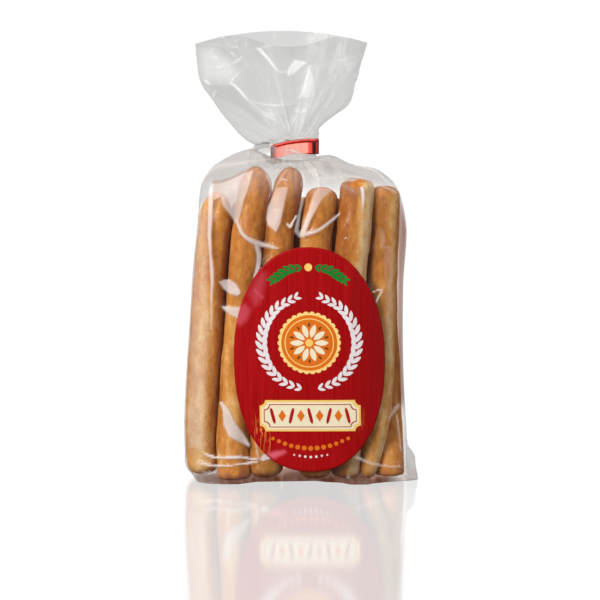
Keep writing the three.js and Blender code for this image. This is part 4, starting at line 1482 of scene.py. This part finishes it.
def makePrint():
    plates = {name: [] for name in printColours}
    inks = {name: printMaterial(name, colours) for name, colours in printColours.items()}
    low, high, step = (printLift[key] for key in ("low", "high", "over"))
    paper, middle, top = ((low + step * level, high + step * level) for level in range(3))

    def stamp(colour, outline, lift, rings, place=(0, 0)):
        # a filled shape, which stands at its place in the design
        outline = outline + place
        centre = outline.mean(0)
        rows = [centre + (outline - centre) * share for share in np.linspace(0, 1, rings + 1)[1:]]
        plates[colour].append(plateMesh([centre[None, :], *rows], *lift))

    def panelShape(inset, notch=panel["notch"]):
        return ticketShape(panel["halfU"] - inset, panel["halfW"] - inset, notch) + panel["place"]

    tree = motifTree()
    for row in printRows:
        plates[row["colour"]].append(wrappedMotifs(row, paper, tree, inks[row["colour"]]))
    # the panel, its gold edge, and a band of breadsticks and diamonds on it
    stamp("gold", panelShape(0), paper, 16)
    stamp("cream", panelShape(panel["edge"]), middle, 16)
    edging = [panelShape(panel["inset"] + panel["line"]), panelShape(panel["inset"])]
    plates["red"].append(plateMesh(edging, *top))
    half = panelSticks["halfLength"]
    stick = ellipseShape(panelSticks["halfWidth"], half)
    blunt = panelSticks["blunt"]
    stick[:, 1] = np.sign(stick[:, 1]) * np.abs(stick[:, 1]) ** blunt * half ** (1 - blunt)
    diamond = np.array([(1, 0), (0, 1), (-1, 0), (0, -1)]) * panelDiamond
    count, stepU = panelSticks["count"], panelSticks["step"]
    for number in range(count):
        u = (number - (count - 1) / 2) * stepU
        lean = panelSticks["lean"] * (-1) ** number
        stamp("red", turned(stick, lean), top, 3, (u, panel["place"][1]))
        if number < count - 1:
            stamp("orange", diamond, top, 3, (u + stepU / 2, panel["place"][1]))
    # the rosette, with a flower on it
    centre = np.array(rosette["place"])
    scallops = starShape(rosette["outer"], rosette["scallop"], rosette["scallops"])
    stamp("paleGold", scallops, paper, 12, centre)
    disc, *rings = (ellipseShape(r, r, rosette["sides"]) for r in (rosette["disc"], *rosette["ring"]))
    stamp("orange", disc, middle, 12, centre)
    rings = [ring + centre for ring in rings]
    plates["paleGold"].append(plateMesh(rings, *top))
    for number in range(flower["petals"]):
        for colour, size, start, shift in flowerRings:
            angle = 2 * math.pi * (number + shift) / flower["petals"]
            place = centre + start * np.array([math.cos(angle), math.sin(angle)])
            stamp(colour, turned(grainShape(*size), angle), top, 2, place)
    heart = ellipseShape(flower["heart"], flower["heart"])
    stamp("gold", heart, top, 3, centre)
    stamp("gold", heart, paper, 3, sprigKnot)
    for name, parts in plates.items():
        points = np.concatenate([some for some, _ in parts])
        faces, start = [], 0
        for some, partFaces in parts:
            faces += [[start + value for value in face] for face in partFaces]
            start += len(some)
        finishLabel(meshPiece(name + "Print", points, faces, smooth=False), inks[name])


makePrint()
print("print made")


# ---- tie

tieSettings = {
    "left": -16.6, "right": 9.8, "halfDepth": 6.6, "height": 7.2, "z": 180.9, "slope": 0.15, "thick": 0.5,
    "square": 2.6, "taper": 0.12, "sides": 300, "rows": 40, "ripple": 0.07, "bow": 1.5, "bowAt": -5.5,
    "taller": 0.16, "crinkles": (37, 53, 71, 97),
}
tailSettings = {"length": 13, "spread": 5.5, "narrow": 2.4, "wide": 6.6, "steps": 60, "across": 10,
                "thick": 0.5, "curl": 0.25, "turned": (0, 0.75), "widened": (0.15, 0.8), "bent": (0.2, 1.1)}
# Painted light and shade along the front of the band: the x of each tone, from 0, black, over 0.4, red,
# to 1, salmon, where the foil catches the light.
tieTones = [(-16.6, 0.1), (-15, 0.2), (-13.4, 0.44), (-11.4, 0.66), (-8, 0.86), (3.6, 0.88), (4.2, 0.56),
            (6, 0.42), (6.4, 0.02), (8, 0.0), (8.3, 0.45), (9, 0.4), (9.2, 0.1), (9.8, 0.08)]
foilColours = [(0, (0.012, 0.001, 0.001)), (0.2, (0.18, 0.005, 0.003)), (0.4, (0.76, 0.02, 0.014)),
               (0.65, (1.0, 0.15, 0.11)), (1, (1.0, 0.52, 0.43))]


def foilMaterial(colours):
    material, tree = newMaterial("redFoil")
    brushed = objectNoise(tree, 1400, (1, 1, 0.05), 2, 0.6)
    tone = swing(tree, brushed, 0.3, attribute(tree, "tone"))
    rough = calc(tree, "MULTIPLY_ADD", brushed, 0.15, 0.3)
    paint(tree, ramp(tree, tone, colours), rough, bumped(tree, brushed, 0.25, 0.0003), 0.2, metal=0.2)
    return material


def finishFoil(piece, material):
    work = bmesh.new()
    work.from_mesh(piece.data)
    bmesh.ops.recalc_face_normals(work, faces=work.faces)
    work.to_mesh(piece.data)
    work.free()
    piece.data.materials.append(material)
    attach(piece, "root")
    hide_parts("tie")


def tieLoop(settings, angle, inset, up):
    c, s = np.cos(angle), np.sin(angle)
    reach = squareReach(c, s, settings["square"])
    half = (settings["right"] - settings["left"]) / 2
    middle = (settings["left"] + settings["right"]) / 2
    x = middle + (half - inset) * c * reach
    y = (settings["halfDepth"] - inset) * (1 - settings["taper"] * c) * s * reach
    bow = settings["bow"] * np.clip(1 - ((x - settings["bowAt"]) / half) ** 2, 0, 1)
    taller = 1 + settings["taller"] * smoothStep(x, -6, settings["right"])
    return np.stack([x, y, settings["z"] + settings["slope"] * (x - middle) + bow + up * taller], -1)


def bandTone(x, y, up, height):
    # painted light and shade: the face is salmon where it catches the light, red along its upper edge
    # with a painted shadow under that, and dark at the lower right
    tone = np.where(y < 0, np.interp(x, *zip(*tieTones)), 0.45)
    fromTop = height / 2 - up
    lipShadow = smoothStep(fromTop, 0.6, 0.75) * smoothStep(fromTop, 1.7, 1.3)
    tone = np.where(fromTop < 0.7, 0.5, tone * (1 - lipShadow) + 0.16 * lipShadow)
    low = smoothStep(x, 2, 4) * smoothStep(height - fromTop, 0.7, 0.3)
    return tone * (1 - low) + 0.14 * low


def makeBand(settings, foil):
    random = np.random.default_rng(5)
    angle = np.linspace(0, 2 * math.pi, settings["sides"], endpoint=False)
    crinkle = sum(np.sin(n * angle + random.uniform(0, 6)) for n in settings["crinkles"]) / 4
    ripple = settings["ripple"] * crinkle
    heights = np.linspace(-0.5, 0.5, settings["rows"]) * settings["height"]
    rows = [tieLoop(settings, angle, ripple * (1 + 0.5 * math.sin(up * 1.3)), up) for up in heights]
    rows += [tieLoop(settings, angle, settings["thick"] + ripple, up) for up in heights[::-1]]
    points = np.concatenate(rows)
    band = meshPiece("tieBand", points, ringFaces(len(rows), len(angle)))
    ups = np.repeat(np.concatenate([heights, heights[::-1]]), len(angle))
    storeValues(band, tone=bandTone(points[:, 0], points[:, 1], ups, settings["height"]))
    finishFoil(band, foil)


def makeTail(name, side, start, tails, foil):
    rings = []
    for along in np.linspace(0, 1, tails["steps"] + 1):
        spread = side * tails["spread"] * smoothStep(along, *tails["bent"])
        turn = side * math.pi * smoothStep(along, *tails["turned"])
        wide = tails["narrow"] + (tails["wide"] - tails["narrow"]) * smoothStep(along, *tails["widened"])
        ups = np.linspace(-0.5, 0.5, tails["across"]) * wide
        up = np.concatenate([ups, ups[::-1]])
        curl = tails["curl"] * np.cos(2 * math.pi * up / wide) * smoothStep(along, 0.1, 0.4)
        across = np.repeat([0.5, -0.5], len(ups)) * tails["thick"] + curl
        x = start[0] + spread + across * math.cos(turn) - up * math.sin(turn)
        y = np.full(len(up), start[1] + tails["length"] * along)
        z = start[2] + across * math.sin(turn) + up * math.cos(turn)
        rings.append(np.stack([x, y, z], -1))
    count = len(rings[0])
    points = np.concatenate(rings)
    faces = gridFaces(len(rings), count, True)
    faces += [list(range(count))[::-1], list(range(len(points) - count, len(points)))]
    tail = meshPiece(name, points, faces)
    storeValues(tail, tone=np.full(len(points), 0.5))
    finishFoil(tail, foil)


def makeTie(settings, tails):
    foil = foilMaterial(foilColours)
    makeBand(settings, foil)
    knot = tieLoop(settings, np.array([math.pi / 2]), settings["thick"] / 2, 0)[0]
    for side, name in ((-1, "tieTailLeft"), (1, "tieTailRight")):
        makeTail(name, side, knot, tails, foil)


makeTie(tieSettings, tailSettings)
print("tie made")
